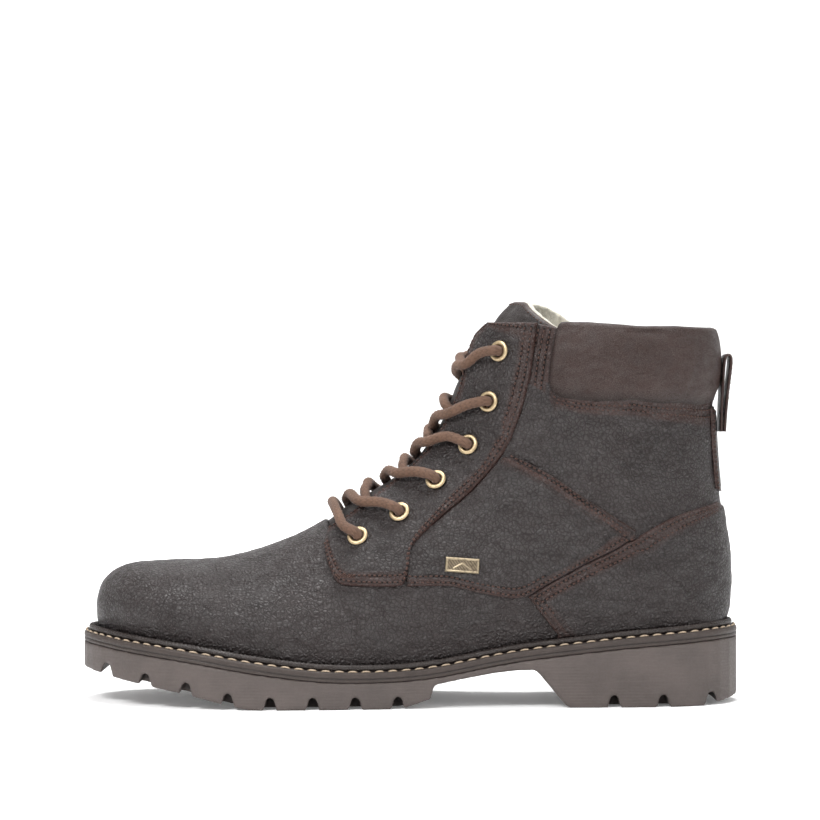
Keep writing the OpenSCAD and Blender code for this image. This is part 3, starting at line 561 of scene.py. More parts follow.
def mottled(name, base, dark, scale=300.0, rough=0.8, depth=0.0003, metallic=0.0):
    """Board, cork, foam and other hidden fillings, with their own flecks and pores."""
    g = Graph(name)
    flecks = g.add("TexVoronoi", {"feature": "F1"}, Vector=g.place, Scale=scale)
    cloud = g.noise(scale * 0.4, 5.0, 0.7)
    fleck = g.add("SeparateColor", Color=flecks.outputs["Color"]).outputs[0]
    tone = g.mix(g.math("MULTIPLY", fleck, 0.8), base, dark)
    tone = g.mix(g.span(cloud, 0.4, 0.7, 0.0, 0.5), tone, dark)
    height = g.math("ADD", flecks.outputs["Distance"], cloud)
    return g.finish(Base_Color=tone, Roughness=g.span(cloud, 0.3, 0.7, rough - 0.1, rough),
                    Normal=g.bump(height, depth, 0.6), Metallic=metallic)


UPPER = (0.0185, 0.0135, 0.013)
RUBBED = (0.032, 0.0155, 0.0125)
m_upper = leather("upper_leather", UPPER, RUBBED)
m_overlay = leather("overlay_leather", dim(UPPER, 0.95), RUBBED)
m_collar = leather("collar_leather", (0.033, 0.0195, 0.0165), (0.045, 0.026, 0.021), cell=0.7,
                   grain=0.00012, rough=0.5, wrinkle=0.0006, shine=0.42)
m_tongue = leather("tongue_leather", (0.024, 0.019, 0.018), (0.045, 0.026, 0.02), cell=0.7,
                   grain=0.00006, rough=0.48, wrinkle=0.0005)
m_loop = leather("loop_leather", (0.03, 0.02, 0.019), RUBBED, cell=0.8, grain=0.00008)
m_rand = leather("rand_leather", (0.022, 0.016, 0.014), (0.04, 0.025, 0.02), cell=0.8,
                 grain=0.00006, rough=0.4, wrinkle=0.0003)
m_sole = rubber("sole_rubber", (0.068, 0.054, 0.049))
m_welt = rubber("welt_rubber", (0.034, 0.024, 0.02), False)
m_fleece = fleece("fleece_pile", (0.72, 0.68, 0.57))
m_wadding = woven("insulation_wadding", (0.62, 0.6, 0.52))
m_stiff = woven("stiffener_sheet", (0.34, 0.31, 0.26), 0.0006, 0.7)
m_board = mottled("fibre_board", (0.5, 0.46, 0.38), (0.36, 0.31, 0.24), 500.0)
m_cork = mottled("cork_filler", (0.33, 0.2, 0.11), (0.12, 0.06, 0.03), 420.0)
m_foam = mottled("soft_foam", (0.75, 0.66, 0.42), (0.55, 0.46, 0.27), 900.0)
m_steel = metal("shank_steel", (0.5, 0.5, 0.5), (0.2, 0.17, 0.15), 0.35, 0.4)
m_brass = metal("antique_brass", (0.5, 0.39, 0.24), (0.17, 0.12, 0.07), 0.36, 0.5)
m_badge = metal("badge_brass", (0.34, 0.28, 0.19), (0.08, 0.06, 0.045), 0.34, 0.8)
m_lace = cordage("lace_braid", (0.1, 0.056, 0.037), (0.02, 0.011, 0.007))
m_aglet = mottled("aglet_tip", (0.08, 0.045, 0.03), (0.05, 0.03, 0.02), 200.0, 0.3, 0.00002)
m_thread = thread("dark_thread", (0.06, 0.031, 0.024), (0.0012, 0.001, 0.001))
m_welt_thread = thread("cream_thread", (0.36, 0.28, 0.2), (0.03, 0.02, 0.015))


# ---- Stitches ----
def stitch_mesh(line, out, pitch, size, sink=0.25, holes=True):
    """Stitches along a line: short humped threads with painted shade on their ends, and a needle
    hole between each two, a sunk disc painted near-black as its shade.
    """
    s = lengths(line)
    count = max(1, int(s[-1] / pitch))
    mids = (np.arange(count) + 0.5) * s[-1] / count

    def at(rows, x):
        return np.stack([np.interp(x, s, rows[:, k]) for k in range(3)], -1)

    ring = np.arange(6) * math.pi / 3
    verts, faces, valley = [], [], []
    length = pitch * 0.72
    across = np.array([-0.5, -0.3, 0.0, 0.3, 0.5])
    fat = np.array([0.45, 0.9, 1.0, 0.9, 0.45])
    hump = np.array([-0.5, 0.05, 0.25, 0.05, -0.5]) * size
    for m in mids:
        base = len(verts)
        n = at(out, np.array([m]))[0]
        n /= np.linalg.norm(n)
        d = (at(line, np.array([m + 0.2])) - at(line, np.array([m - 0.2])))[0]
        d /= np.linalg.norm(d)
        b = np.cross(n, d)
        b /= np.linalg.norm(b)
        c = at(line, np.array([m]))[0] + n * (size * 0.5 - sink)
        for x, f, h in zip(across, fat, hump):
            core = c + d * x * length + n * h
            for g in ring:
                verts.append(core + size / 2 * f * (math.cos(g) * b * 1.15 + math.sin(g) * n))
                # Painted shade on the thread's ends, where it dives into the leather.
                valley.append(0.0 if abs(x) < 0.4 else 0.4)
        for i in range(len(across) - 1):
            for k in range(6):
                p, q = base + 6 * i + k, base + 6 * i + (k + 1) % 6
                faces.append((p, q, q + 6, p + 6))
        faces.append(tuple(base + k for k in range(5, -1, -1)))
        faces.append(tuple(base + 24 + k for k in range(6)))
        if not holes:
            continue
        # The needle hole: a sunk disc painted near-black as shade.
        base = len(verts)
        c = at(line, np.array([m + s[-1] / count / 2]))[0]
        for k, g in enumerate(ring):
            verts.append(c + n * 0.08 + size * 0.72 * (math.cos(g) * b + math.sin(g) * d * 0.8))
            valley.append(1.0)
        for k, g in enumerate(ring):
            verts.append(c - n * 0.35 + size * 0.4 * (math.cos(g) * b + math.sin(g) * d * 0.8))
            valley.append(1.0)
        faces.append(tuple(base + k for k in range(6)))
        faces.append(tuple(base + 6 + k for k in range(5, -1, -1)))
        for k in range(6):
            p, q = base + k, base + (k + 1) % 6
            faces.append((p, p + 6, q + 6, q))
    return np.array(verts), faces, np.array(valley)


class Seams:
    """Gathers the stitches of one piece into one object."""

    def __init__(self, name, material=None, body="boot"):
        self.name, self.material, self.body = name, material or m_thread, body
        self.verts, self.faces, self.valley = [], [], []

    def add(self, line, out, pitch=2.3, size=0.7, **more):
        if lengths(line)[-1] < pitch:
            return
        v, f, marks = stitch_mesh(line, out, pitch, size, **more)
        n = len(self.verts)
        self.faces += [tuple(int(i) + n for i in face) for face in f]
        self.verts += list(v)
        self.valley += list(marks)

    def lay(self, t, u, o, sunk=0.25, pitch=2.3):
        """Stitches along [t, u] on the skin, o out from the last and partly sunk in."""
        n = normal(t, u)
        self.add(skin(t, u, o) - n * sunk, n, pitch)

    def build(self, slot):
        return make(self.name, np.array(self.verts), self.faces, self.material, self.body,
                    {"valley": self.valley})


# ---- Leather panels ----
class Panel:
    """A leather piece between two edges given as [t, u] rows of equal length."""

    def __init__(self, a, b, out, inn, step=1.3, warp=None, seams=(), worn=5.5, seed=1,
                 waves=0.22):
        self.a, self.b, self.out, self.inn, self.warp = a, b, out, inn, warp
        self.seams, self.worn, self.seed, self.waves = seams, worn, seed, waves
        edge_a, edge_b = self.surface(a, out), self.surface(b, out)
        self.run = (lengths(edge_a) + lengths(edge_b)) / 2
        self.rows = spread(self.run[-1], step)
        self.across = self.widths(self.rows)
        n = max(3, int((self.across.max() - 4.4) / step))
        scale = np.minimum(1, self.across / 8)[:, None]
        inner = np.linspace(0, 1, n)[None, :]
        width = self.across[:, None]
        near = EDGE_STEPS[None, :] * scale
        middle = 2.2 * scale + (width - 4.4 * scale) * inner
        self.dist_a = np.concatenate([near, middle, width - near[:, ::-1]], 1)
        self.dist_b = width - self.dist_a
        self.dist_start = np.broadcast_to(self.rows[:, None], self.dist_a.shape)
        self.dist_end = self.run[-1] - self.dist_start
        self.tu = self.place_at(self.rows, self.dist_a / width)

    def surface(self, tu, o):
        t, u = self.warped(tu)
        return skin(t, u, o)

    def warped(self, tu):
        return self.warp(tu[..., 0], tu[..., 1]) if self.warp else (tu[..., 0], tu[..., 1])

    def place_at(self, rows, share):
        """[t, u] at a distance along the piece and a share across it."""
        x = np.interp(rows, self.run, np.arange(len(self.run)))
        ends = [np.stack([np.interp(x, np.arange(len(e)), e[:, k]) for k in range(2)], -1)
                for e in (self.a, self.b)]
        share = np.asarray(share)[..., None]
        return ends[0][:, None] + (ends[1] - ends[0])[:, None] * share

    def widths(self, rows):
        share = np.broadcast_to(np.linspace(0, 1, 30), (len(rows), 30))
        return lengths(self.surface(self.place_at(rows, share), self.out))[:, -1]

    def line(self, edge, d, low=0.0, high=0.0):
        """Seam line at distance d from an edge, low and high millimetres short of its ends."""
        if edge in "ab":
            rows = np.linspace(low, self.run[-1] - high, max(8, int(self.run[-1] / 1.2)))
            share = np.clip(d / self.widths(rows), 0, 1)
            share = share if edge == "a" else 1 - share
            tu = self.place_at(rows, share[:, None])[:, 0]
        else:
            row = d if edge == "start" else self.run[-1] - d
            width = self.widths(np.array([row]))[0]
            share = np.linspace(low / width, 1 - high / width, max(8, int(width / 1.2)))
            tu = self.place_at(np.array([row]), share[None, :])[0]
        t, u = self.warped(tu)
        return skin(t, u, self.out), normal(t, u)

    def build(self, name, material, slot, node, holes=(), extra=None, body="boot"):
        near = np.minimum(np.minimum(self.dist_a, self.dist_b),
                          np.minimum(self.dist_start, self.dist_end))
        t, u = self.warped(self.tu)
        base = skin(t, u, self.out)
        o = self.out - rounding(near, 0.8 * (self.out - self.inn)) * 0.9
        kinds = {"a": self.dist_a, "b": self.dist_b, "start": self.dist_start,
                 "end": self.dist_end}
        rub = np.zeros_like(near)
        dark = np.zeros_like(near)
        for edge, d, low, high in self.seams:
            o = o - SEAM_DEPTH * groove(kinds[edge], d)
            # Painted shade in the seam's groove, kept as the seam mark.
            dark = np.maximum(dark, groove(kinds[edge], d, 0.5))
            if d < 4 and self.worn:
                rub = np.maximum(rub, np.clip((self.worn + 1.2 - kinds[edge]) / 1.6, 0, 1))
        o = o + self.waves * ripple(base * [1, 1, 1.6], 26, self.seed)
        o = o + 0.5 * self.waves * ripple(base * [1, 1, 2.2], 9, self.seed + 5)
        if extra is not None:
            change, more = extra(t, u, base)
            o = o + change
            # Painted shade where the extra sinks the leather.
            dark = np.maximum(dark, np.clip(-change * 3, 0, 1) ** 2)
            rub = np.maximum(rub, more)
        for c in holes:
            d = np.linalg.norm(base - c, axis=-1)
            o = o - 0.45 * np.exp(-(((d - 4.4) / 1.5) ** 2))
        outer, inner = skin(t, u, o), skin(t, u, self.inn)
        rows, cols = near.shape
        faces = shell_faces(rows, cols)
        verts = np.concatenate([outer.reshape(-1, 3), inner.reshape(-1, 3)])
        centres = verts[faces].mean(1)
        for c in holes:
            faces = faces[np.linalg.norm(centres - c, axis=1) > 3.4]
            centres = verts[faces].mean(1)
        edge_mark = np.exp(-((near / 0.5) ** 2))
        marks = {"edge": np.concatenate([edge_mark.ravel(), np.ones(near.size)]),
                 "worn": np.concatenate([rub.ravel(), np.zeros(near.size)]),
                 "seam": np.concatenate([dark.ravel(), np.zeros(near.size)])}
        ob = make(name, verts, faces, material, body, marks)
        if not holes:
            mend_normals(ob)
        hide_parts(node)
        return ob

    def stitch(self, seams, pitch=2.3):
        for edge, d, low, high in self.seams:
            p, n = self.line(edge, d, low, high)
            seams.add(p - n * 0.25, n, pitch)


BARTACK = [
    [-32.6, 58.8], [-24.6, 58.8], [-24.6, 57.8], [-32.6, 57.8], [-32.6, 58.3], [-24.6, 58.3],
]
LACE_EDGE = [
    [-37, 79], [-27, 85], [-14.5, 94], [-4.5, 101.5], [4, 109], [11.5, 117.5], [17.5, 127],
    [22, 137.5], [25.5, 149], [28.5, 161], [32, 169], [37, 174],
]
FACING_BACK = [
    [-38.5, 72], [-37, 64], [-32.5, 55], [-17, 54.5], [-1.5, 54.5], [-1.6, 70], [14, 85.5],
    [29, 97.5], [43, 114], [50, 131], [55, 150], [58, 173.5],
]
QUARTER_LOW = [
    [-1.2, 54.6], [10, 55], [19, 55], [30, 52], [50, 48.5], [64, 56.9], [79, 64.9], [92, 71],
    [101, 76.6],
]
QUARTER_HIGH = [
    [-1.3, 58], [-1.5, 70], [6.4, 78.6], [14.8, 85.4], [29.6, 97.6], [44, 115], [64, 104.5],
    [79, 94], [101.6, 80],
]
COLLAR_FRONT = 0.37
COLLAR_LOW = [[0.366, 14.3], [0.38, 14.03], [0.4, 13.98], [0.446, 14.12], [0.59, 14.63],
              [0.75, 14.9], [0.947, 15.07], [1, 15.1]]
COLLAR_HIGH = [[0.34, 15.55], [0.45, 15.66], [0.72, 15.84], [1, 15.93]]
SHAFT_TOP = [
    [0.2, 15.42], [0.285, 15.42], [0.31, 15.6], [0.385, 15.58], [0.4, 14.4], [0.42, 14.2],
    [0.45, 14.25],
    [0.58, 14.7], [0.75, 14.98], [1, 15.16],
]
FRONT_U = [[6.5, 0.52], [8.6, 0.405], [9.7, 0.36], [11.5, 0.3], [12.6, 0.27], [14.4, 0.262],
           [16, 0.26]]
PATCH_TOP = [
    [50, 47.6], [57, 52.4], [64, 56.3], [79, 64.3], [92, 70.4], [101, 76], [120, 86.4],
    [142, 92.5],
]
EYELETS = np.array([
    [-23, 75.5], [-4, 86.5], [12.5, 101], [27.5, 117.5], [37, 137.5], [42, 160.5],
])
SHAFT_START = 8.5
SHAFT_HIGH = 15.5
PATCH_SPAN = (8.4, 13.72)
BAND_FOOT = 13.9
COLLAR_SEAMS = (2.6, 5.6)
FRONT_SEAMS = (2.4, 5.4, 8.4)
STAY_SPAN = (13.9, 14.99)
STAY_HALF = 0.1
SIDES = {LATERAL: "lateral", MEDIAL: "medial"}


def eyelet_frame(p, side, o, heelwards=(1, 0, 0)):
    """Centre and axes of something laid on the skin: towards the heel, across, outwards."""
    t, u = place([p], side)[0]
    n = normal(np.array(t), np.array(u))
    b = np.cross(n, heelwards)
    b /= np.linalg.norm(b)
    return skin(t, u, 0) + o * n, np.cross(b, n), b, n


def build_facing(side):
    a, b = (seam_line(e, side) for e in (LACE_EDGE, FACING_BACK))
    seams = [("a", 2.4, 1.0, 4.0), ("b", 1.6, 1.0, 1.5), ("b", 4.7, 3.0, 1.5),
             ("end", 2.0, 3.0, 6.0)]
    panel = Panel(a, b, FACING_OUT, OVERLAY_IN, seams=seams, seed=3)
    holes = [eyelet_frame(p, side, FACING_OUT)[0] for p in EYELETS]
    name = SIDES[side]
    panel.build("facing_" + name, m_overlay, "overlay_leather", "facing_" + name, holes)
    panel.stitch(stitching[side])
    stitching[side].lay(*place(BARTACK, side).T, FACING_OUT, 0.2, 1.2)


def build_quarter(side):
    a, b = (seam_line(e, side) for e in (QUARTER_HIGH, QUARTER_LOW))
    seams = [("b", 1.8, 2.0, 2.0), ("b", 5.0, 2.0, 60.0)]
    panel = Panel(a, b, OVERLAY_OUT, OVERLAY_IN, seams=seams, worn=3.5, seed=7)
    high = seam_line(QUARTER_HIGH[5:], side)
    low = seam_line(QUARTER_LOW[5:], side)
    name = SIDES[side]

    def top_band(t, u, base):
        reach = np.full(base.shape[:-1], FAR)
        for p in skin(high[:, 0], high[:, 1], OVERLAY_OUT):
            reach = np.minimum(reach, np.linalg.norm(base - p, axis=-1))
        sunk = -SEAM_DEPTH * (groove(reach, 1.8) + groove(reach, 5.0))
        return sunk, np.clip((6.4 - reach) / 1.5, 0, 1)

    panel.build("quarter_" + name, m_overlay, "overlay_leather", "quarter_" + name, extra=top_band)
    panel.stitch(stitching[side])
    across = (low - high) / np.linalg.norm(
        skin(low[:, 0], low[:, 1]) - skin(high[:, 0], high[:, 1]), axis=-1, keepdims=True)
    for d in (2.4, 6.2):
        stitching[side].lay(*(high + across * d)[:-3].T, OVERLAY_OUT)


def patch_top_u(t, side):
    p = seam_line(PATCH_TOP, side)
    return np.interp(t, p[:, 0], np.abs(p[:, 1]))


def heel_edge(t, tucked, reach):
    """u of a panel's back edge: tucked under the heel, then beside the back seam."""
    back = np.where(t < LAST_WIDEST, tucked, 0.998)
    width = 2 * reach + 1
    return np.convolve(np.pad(back, reach, "edge"), np.ones(width) / width, "valid")


def build_patch(side):
    t = np.linspace(*PATCH_SPAN, 96)
    back = heel_edge(t, 1.012, 4)
    front = np.minimum(soften(patch_top_u(t, side), 4), back - 0.01)
    a, b = np.stack([t, side * back], 1), np.stack([t, side * front], 1)
    seams = [("b", 1.8, 1.0, 3.0), ("b", 4.8, 3.0, 6.0), ("start", 1.8, 14.0, 3.0),
             ("start", 4.8, 14.0, 6.0)]
    panel = Panel(a, b, OVERLAY_OUT, OVERLAY_IN, seams=seams, seed=11)
    name = SIDES[side]
    panel.build("counter_patch_" + name, m_overlay, "overlay_leather", "counter_patch_" + name)
    panel.stitch(stitching[side])


def build_shaft(side):
    share = np.linspace(0, 1, 90)
    guess = SHAFT_START + (SHAFT_HIGH - SHAFT_START) * share
    back = heel_edge(guess, 1.03, 3)
    a = np.stack([share, side * back], 1)
    b = np.stack([share, side * table(FRONT_U, guess)], 1)

    def warp(f, u):
        top = table(SHAFT_TOP, np.minimum(1, np.abs(u)))
        return SHAFT_START + (top - SHAFT_START) * f, u

    def bands(t, u, base):
        low = table(COLLAR_LOW, np.abs(u))
        under = (low - t) * COLLAR_MM_PER_T
        ahead = (np.abs(u) - COLLAR_FRONT) * -FRONT_MM_PER_U
        band = np.where(np.abs(u) > COLLAR_FRONT + 0.01, under, FAR)
        front = np.where((t > BAND_FOOT) & (ahead >= 0), ahead, FAR)
        sunk = -SEAM_DEPTH * (sum(groove(band, d) for d in COLLAR_SEAMS)
                              + sum(groove(front, d) for d in FRONT_SEAMS))
        rub = np.maximum(np.clip((9.5 - band) / 1.5, 0, 1), np.clip((9 - front) / 1.5, 0, 1))
        return sunk, rub * (band > -1)

    name = SIDES[side]
    panel = Panel(a, b, 0.0, -LEATHER, warp=warp, seed=17, waves=0.3)
    panel.build("shaft_panel_" + name, m_upper, "upper_leather", "shaft_panel_" + name,
                extra=bands)
    for d in COLLAR_SEAMS:
        u = np.linspace(COLLAR_FRONT + 0.01 + 0.01 * d / 4, 0.985, 120)
        stitching[side].lay(table(COLLAR_LOW, u) - d / COLLAR_MM_PER_T, side * u, 0.0, 0.2)
    for d in FRONT_SEAMS:
        u = np.full(60, COLLAR_FRONT - d / FRONT_MM_PER_U)
        stitching[side].lay(np.linspace(BAND_FOOT, SHAFT_HIGH, 60), side * u, 0.0, 0.2)


def build_vamp():
    rows, tuck = 180, 1.043
    u = np.concatenate([[-tuck], np.linspace(-1, 1, 119), [tuck]])
    last = table([[0, 6.56], [0.44, 6.56], [0.55, 8.58], [1, 8.58]], np.abs(u))
    share = np.linspace(0, 1, rows)[:, None]
    t = last[None, :] * share
    uu = np.broadcast_to(u, t.shape)
    base = skin(t, uu)
    flex = np.exp(-(((base[..., 0] + 42) / 30) ** 2)) * np.clip(np.abs(uu) * 2 - 0.4, 0, 1)
    o = 0.18 * ripple(base, 30, 21) + (0.08 + 0.3 * flex) * ripple(base * [1.5, 1, 0.8], 13, 23)
    o = o * np.clip(t * 2, 0, 1) - 0.9 * rounding((last[None, :] - t) * TOP_MM_PER_T, 0.9)
    outer, inner = skin(t, uu, o), skin(t, uu, -LEATHER)
    cols, n = len(u), rows * len(u)
    faces = [tuple(f) for f in shell_faces(rows, cols)]
    j = np.arange(cols - 1)
    first_wall = set(map(tuple, np.stack([j + 1, j, n + j, n + j + 1], 1)))
    faces = [f for f in faces if f not in first_wall]
    for j in range(cols // 2):
        k = cols - 1 - j
        for shift in (0, n):
            loop = [shift + j, shift + j + 1, shift + k - 1, shift + k]
            faces.append(tuple(dict.fromkeys(loop)))
    faces.append((0, n, n + cols - 1, cols - 1))
    verts = np.concatenate([outer.reshape(-1, 3), inner.reshape(-1, 3)])
    blank = np.zeros(2 * n)
    ob = make("vamp_leather", verts, faces, m_upper, marks={"edge": blank, "worn": blank})
    mend_normals(ob)
    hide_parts("vamp")


def build_back_stay():
    v = np.linspace(-STAY_HALF, STAY_HALF, 40)
    t = np.linspace(*STAY_SPAN, 60)
    tt, vv = np.meshgrid(t, v, indexing="ij")
    uu = np.where(vv < 0, -1, 1) * (1 - np.abs(vv))
    base = skin(tt, uu, OVERLAY_OUT)
    across = (STAY_HALF - np.abs(vv)) * STAY_MM_PER_U
    along = np.minimum(tt - STAY_SPAN[0], STAY_SPAN[1] - tt) * STAY_MM_PER_T
    near = np.minimum(across, along)
    o = OVERLAY_OUT - rounding(near, 1.1) * 0.9 - 0.3 * (groove(across, 1.7) + groove(along, 1.8))
    marks = {"edge": (np.exp(-((near / 0.5) ** 2)), 1),
             "worn": (np.clip((3.5 - across) / 1.5, 0, 1), 0)}
    shell("back_stay_leather", "back_stay", skin(tt, uu, o), skin(tt, uu, OVERLAY_IN), m_overlay,
          marks=marks)
    for side in (LATERAL, MEDIAL):
        u = np.full(60, side * (1 - STAY_HALF + 1.7 / STAY_MM_PER_U))
        stitching[side].lay(t, u, OVERLAY_OUT)


stitching = {side: Seams("stitching_" + SIDES[side]) for side in SIDES}
for side in SIDES:
    build_shaft(side)
    build_quarter(side)
    build_patch(side)
    build_facing(side)
build_vamp()
build_back_stay()
for seams in stitching.values():
    seams.build("welt_thread")


# ---- Fleece, tongue and collar ----
LINING_TOP = [[0.26, 15.36], [0.3, 15.4], [0.36, 15.48], [0.45, 15.58], [0.6, 15.66], [1, 15.86]]


def build_layer(side, name, node, out, inn, lower, fluff, material):
    """Fleece or wadding of one side of the shaft; its top edge turns out over what's below it."""
    rows, cols, first = 130, 90, 8.64
    share = np.linspace(0, 1, rows)[:, None]
    guess = first + (SHAFT_HIGH - first) * share
    back = np.where(guess < LAST_WIDEST, 1.012, 0.996)
    front = table(FRONT_U, guess) + 0.01
    u = back + (front - back) * np.linspace(0, 1, cols)[None, :]
    top = table(LINING_TOP, np.minimum(1, u)) - lower
    t = first + (top - first) * share
    base = skin(t, side * u, inn)
    tucked = np.clip((share - 0.975) / 0.02, 0, 1)
    pile = 0.45 * ripple(base, 6.0, 31, 2) + 0.3 * ripple(base, 2.6, 33, 2)
    pile = fluff * (pile * (1 - tucked) + 0.35 * tucked)
    turned = np.clip((share - 0.985) / 0.005, 0, 1) * np.clip((0.42 - u) / 0.03, 0, 1)
    inner = skin(t, side * u, inn + pile)
    outer = skin(t, side * u, out + 2.85 * turned * fluff)
    shell(name, node, outer, inner, material)


TONGUE_WING = LINING_IN - 1.45
TONGUE_TOP = 16.35
TONGUE_FIRST = 6.535
TONGUE_DIVE = [[0, 0.1], [0.035, -0.3], [0.06, -1.5], [0.1, -4.9], [0.13, TONGUE_WING],
               [1, TONGUE_WING]]
TONGUE_LEAN = [[6, 0], [12.5, 0], [14, -3], [15.4, -6], [17, -6]]
THROAT_RISE = -1.75
TONGUE_BACK = [[15.3, 0], [15.8, -1.2], [16.4, -4]]
TONGUE_HALF_U = [[6.5, 0.4], [8, 0.36], [10, 0.36], [13, 0.39], [15, 0.39], [15.5, 0.41],
                 [16, 0.41], [16.4, 0.41]]
TONGUE_PEAK = [
    [-0.46, 15.45], [-0.39, 15.5], [-0.32, 15.66], [-0.26, 15.86], [-0.2, 16.08], [-0.15, 16.27],
    [-0.11, 16.34],
    [0.2, 16.37], [0.26, 16.3], [0.32, 16.18], [0.38, 15.98], [0.43, 15.78], [0.46, 15.65],
]


def tongue_out(t, u):
    fall = table(TONGUE_DIVE, np.abs(u)) + table(TONGUE_LEAN, t)
    fall = np.maximum(TONGUE_WING, fall) + table(TONGUE_BACK, t)
    throat = np.clip((6.95 - t) / 0.4, 0, 1) * np.clip((0.42 - np.abs(u)) / 0.08, 0, 1)
    return fall + (THROAT_RISE - fall) * throat


def blur(o, rounds):
    for _ in range(rounds):
        p = np.pad(o, 1, "edge")
        o = 0.5 * o + 0.125 * (p[:-2, 1:-1] + p[2:, 1:-1] + p[1:-1, :-2] + p[1:-1, 2:])
    return o


def tongue_piece(name, node, top, thick, reach, material, roll_top, roll_low, fluff=0.0):
    rows, cols = 150, 90
    w = np.sin(np.linspace(-1, 1, cols) * math.pi / 2 * 0.85)
    w = w / math.sin(math.pi / 2 * 0.85) * reach
    t = np.linspace(TONGUE_FIRST, TONGUE_TOP, rows)
    half = table(TONGUE_HALF_U, t)[:, None]
    uu = w[None, :] * half
    last = table(TONGUE_PEAK, uu) - (1 - reach) * 0.6
    share = ((t - TONGUE_FIRST) / (TONGUE_TOP - TONGUE_FIRST))[:, None]
    tt = TONGUE_FIRST + (last - TONGUE_FIRST) * share
    o = blur(tongue_out(tt, uu), 6)
    base = skin(tt, uu, o)
    side_gap = (reach - np.abs(w))[None, :] * half * TONGUE_MM_PER_U
    end_gap = (last - tt) * TOP_MM_PER_T
    near = np.minimum(side_gap, end_gap)
    soft = 0.35 * ripple(base * [1, 0.7, 1], 17, 41) * np.clip(near / 8, 0, 1)
    up = o - top - rounding(near, roll_top) + soft * (thick < 1.45)
    down = o - top - thick + rounding(near, roll_low)
    down = np.minimum(down, up - 0.25)
    if fluff:
        down = down + fluff * (ripple(base, 5.0, 43, 2) + 0.6 * ripple(base, 2.3, 45, 2))
        down = np.minimum(down, up - 0.2)
    marks = {"edge": (np.exp(-((near / 0.9) ** 2)), 0), "worn": (np.zeros(near.shape), 0)}
    return shell(name, node, skin(tt, uu, up), skin(tt, uu, down), material, "tongue", marks)


def build_tongue():
    tongue_piece("tongue_leather_face", "tongue", 0.0, 1.4, 1.0, m_tongue,
                 1.3, 0.1)
    foam = tongue_piece("tongue_padding", "tongue_foam", 1.7, 1.5, 0.95, m_foam, 0.7, 0.5)
    tongue_piece("tongue_fleece", "tongue_lining", 3.5, 1.6, 1.0, m_fleece, -1.4, 0.9,
                 0.35)
    seams = Seams("tongue_stitching", body="tongue")
    for side in (LATERAL, MEDIAL):
        t = np.linspace(14.4, 15.3, 70)
        u = side * (table(TONGUE_HALF_U, t) - 0.022)
        seams.lay(t, u, tongue_out(t, u))
    u = np.linspace(-0.38, 0.38, 84)
    t = table(TONGUE_PEAK, u) - 0.1
    seams.lay(t, u, tongue_out(t, u))
    seams.build("welt_thread")


def collar_section():
    """Section of the collar as [share of its height, offset], once round."""
    up = np.linspace(0, 1, 13)
    face = [[x, 0.15 + 2.1 * math.sin(math.pi * x) ** 0.75] for x in up]
    roll = [[1 + 0.1 * math.sin(g), -3.1 + 3.25 * math.cos(g)]
            for g in np.linspace(0, math.pi, 9)[1:-1]]
    inside = [[x, -6.45] for x in (1.0, 0.98, 0.96, 0.94)]
    behind = [[0.9, -5.3], [0.6, -3.4], [0.4, -2.0], [0.2, -1.6], [0.0, -1.4], [-0.02, -0.6]]
    return np.array(face + roll + inside + behind)


def build_collar():
    section = collar_section()
    cols, rows = 130, len(section)
    v = np.linspace(-1, 1, cols) * (1 - COLLAR_FRONT)
    vv = np.broadcast_to(v[:, None], (cols, rows))
    uu = 1 - np.abs(vv)
    low, high = table(COLLAR_LOW, uu), table(COLLAR_HIGH, uu)
    tt = low + (high - low) * section[None, :, 0]
    end = np.clip((1 - np.abs(vv) / (1 - COLLAR_FRONT)) * 30, 0, 1)
    full = table([[0, 1.0], [0.1, 1.1], [0.25, 1.75], [1, 1.75]], np.abs(vv)) * end**0.5
    o = np.where(section[None, :, 1] > 0.15, 0.15 + (section[None, :, 1] - 0.15) * full,
                 section[None, :, 1])
    p = skin(tt, np.where(vv < 0, -1, 1) * uu, o)
    faces = ring_faces(cols, rows) + caps(cols, rows)
    blank = np.zeros(cols * rows)
    # Painted shade on the pad's lower edge and at its ends, kept as the seam mark.
    tuck = (np.clip(1 - section[:, 0] * 5, 0, 1) ** 1.5)[None, :] + np.clip(1 - end * 1.2, 0, 1)
    ob = make("collar_pad", p.reshape(-1, 3), faces, m_collar, None,
              {"edge": blank, "worn": blank, "seam": np.clip(tuck, 0, 1)})
    mend_normals(ob)
    inflate(ob, cols, rows)
    finer = ob.modifiers.new("finer", "SUBSURF")
    finer.levels = finer.render_levels = 1
    settle(ob)
    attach(ob, "boot")
    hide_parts("collar", "collar_foam")


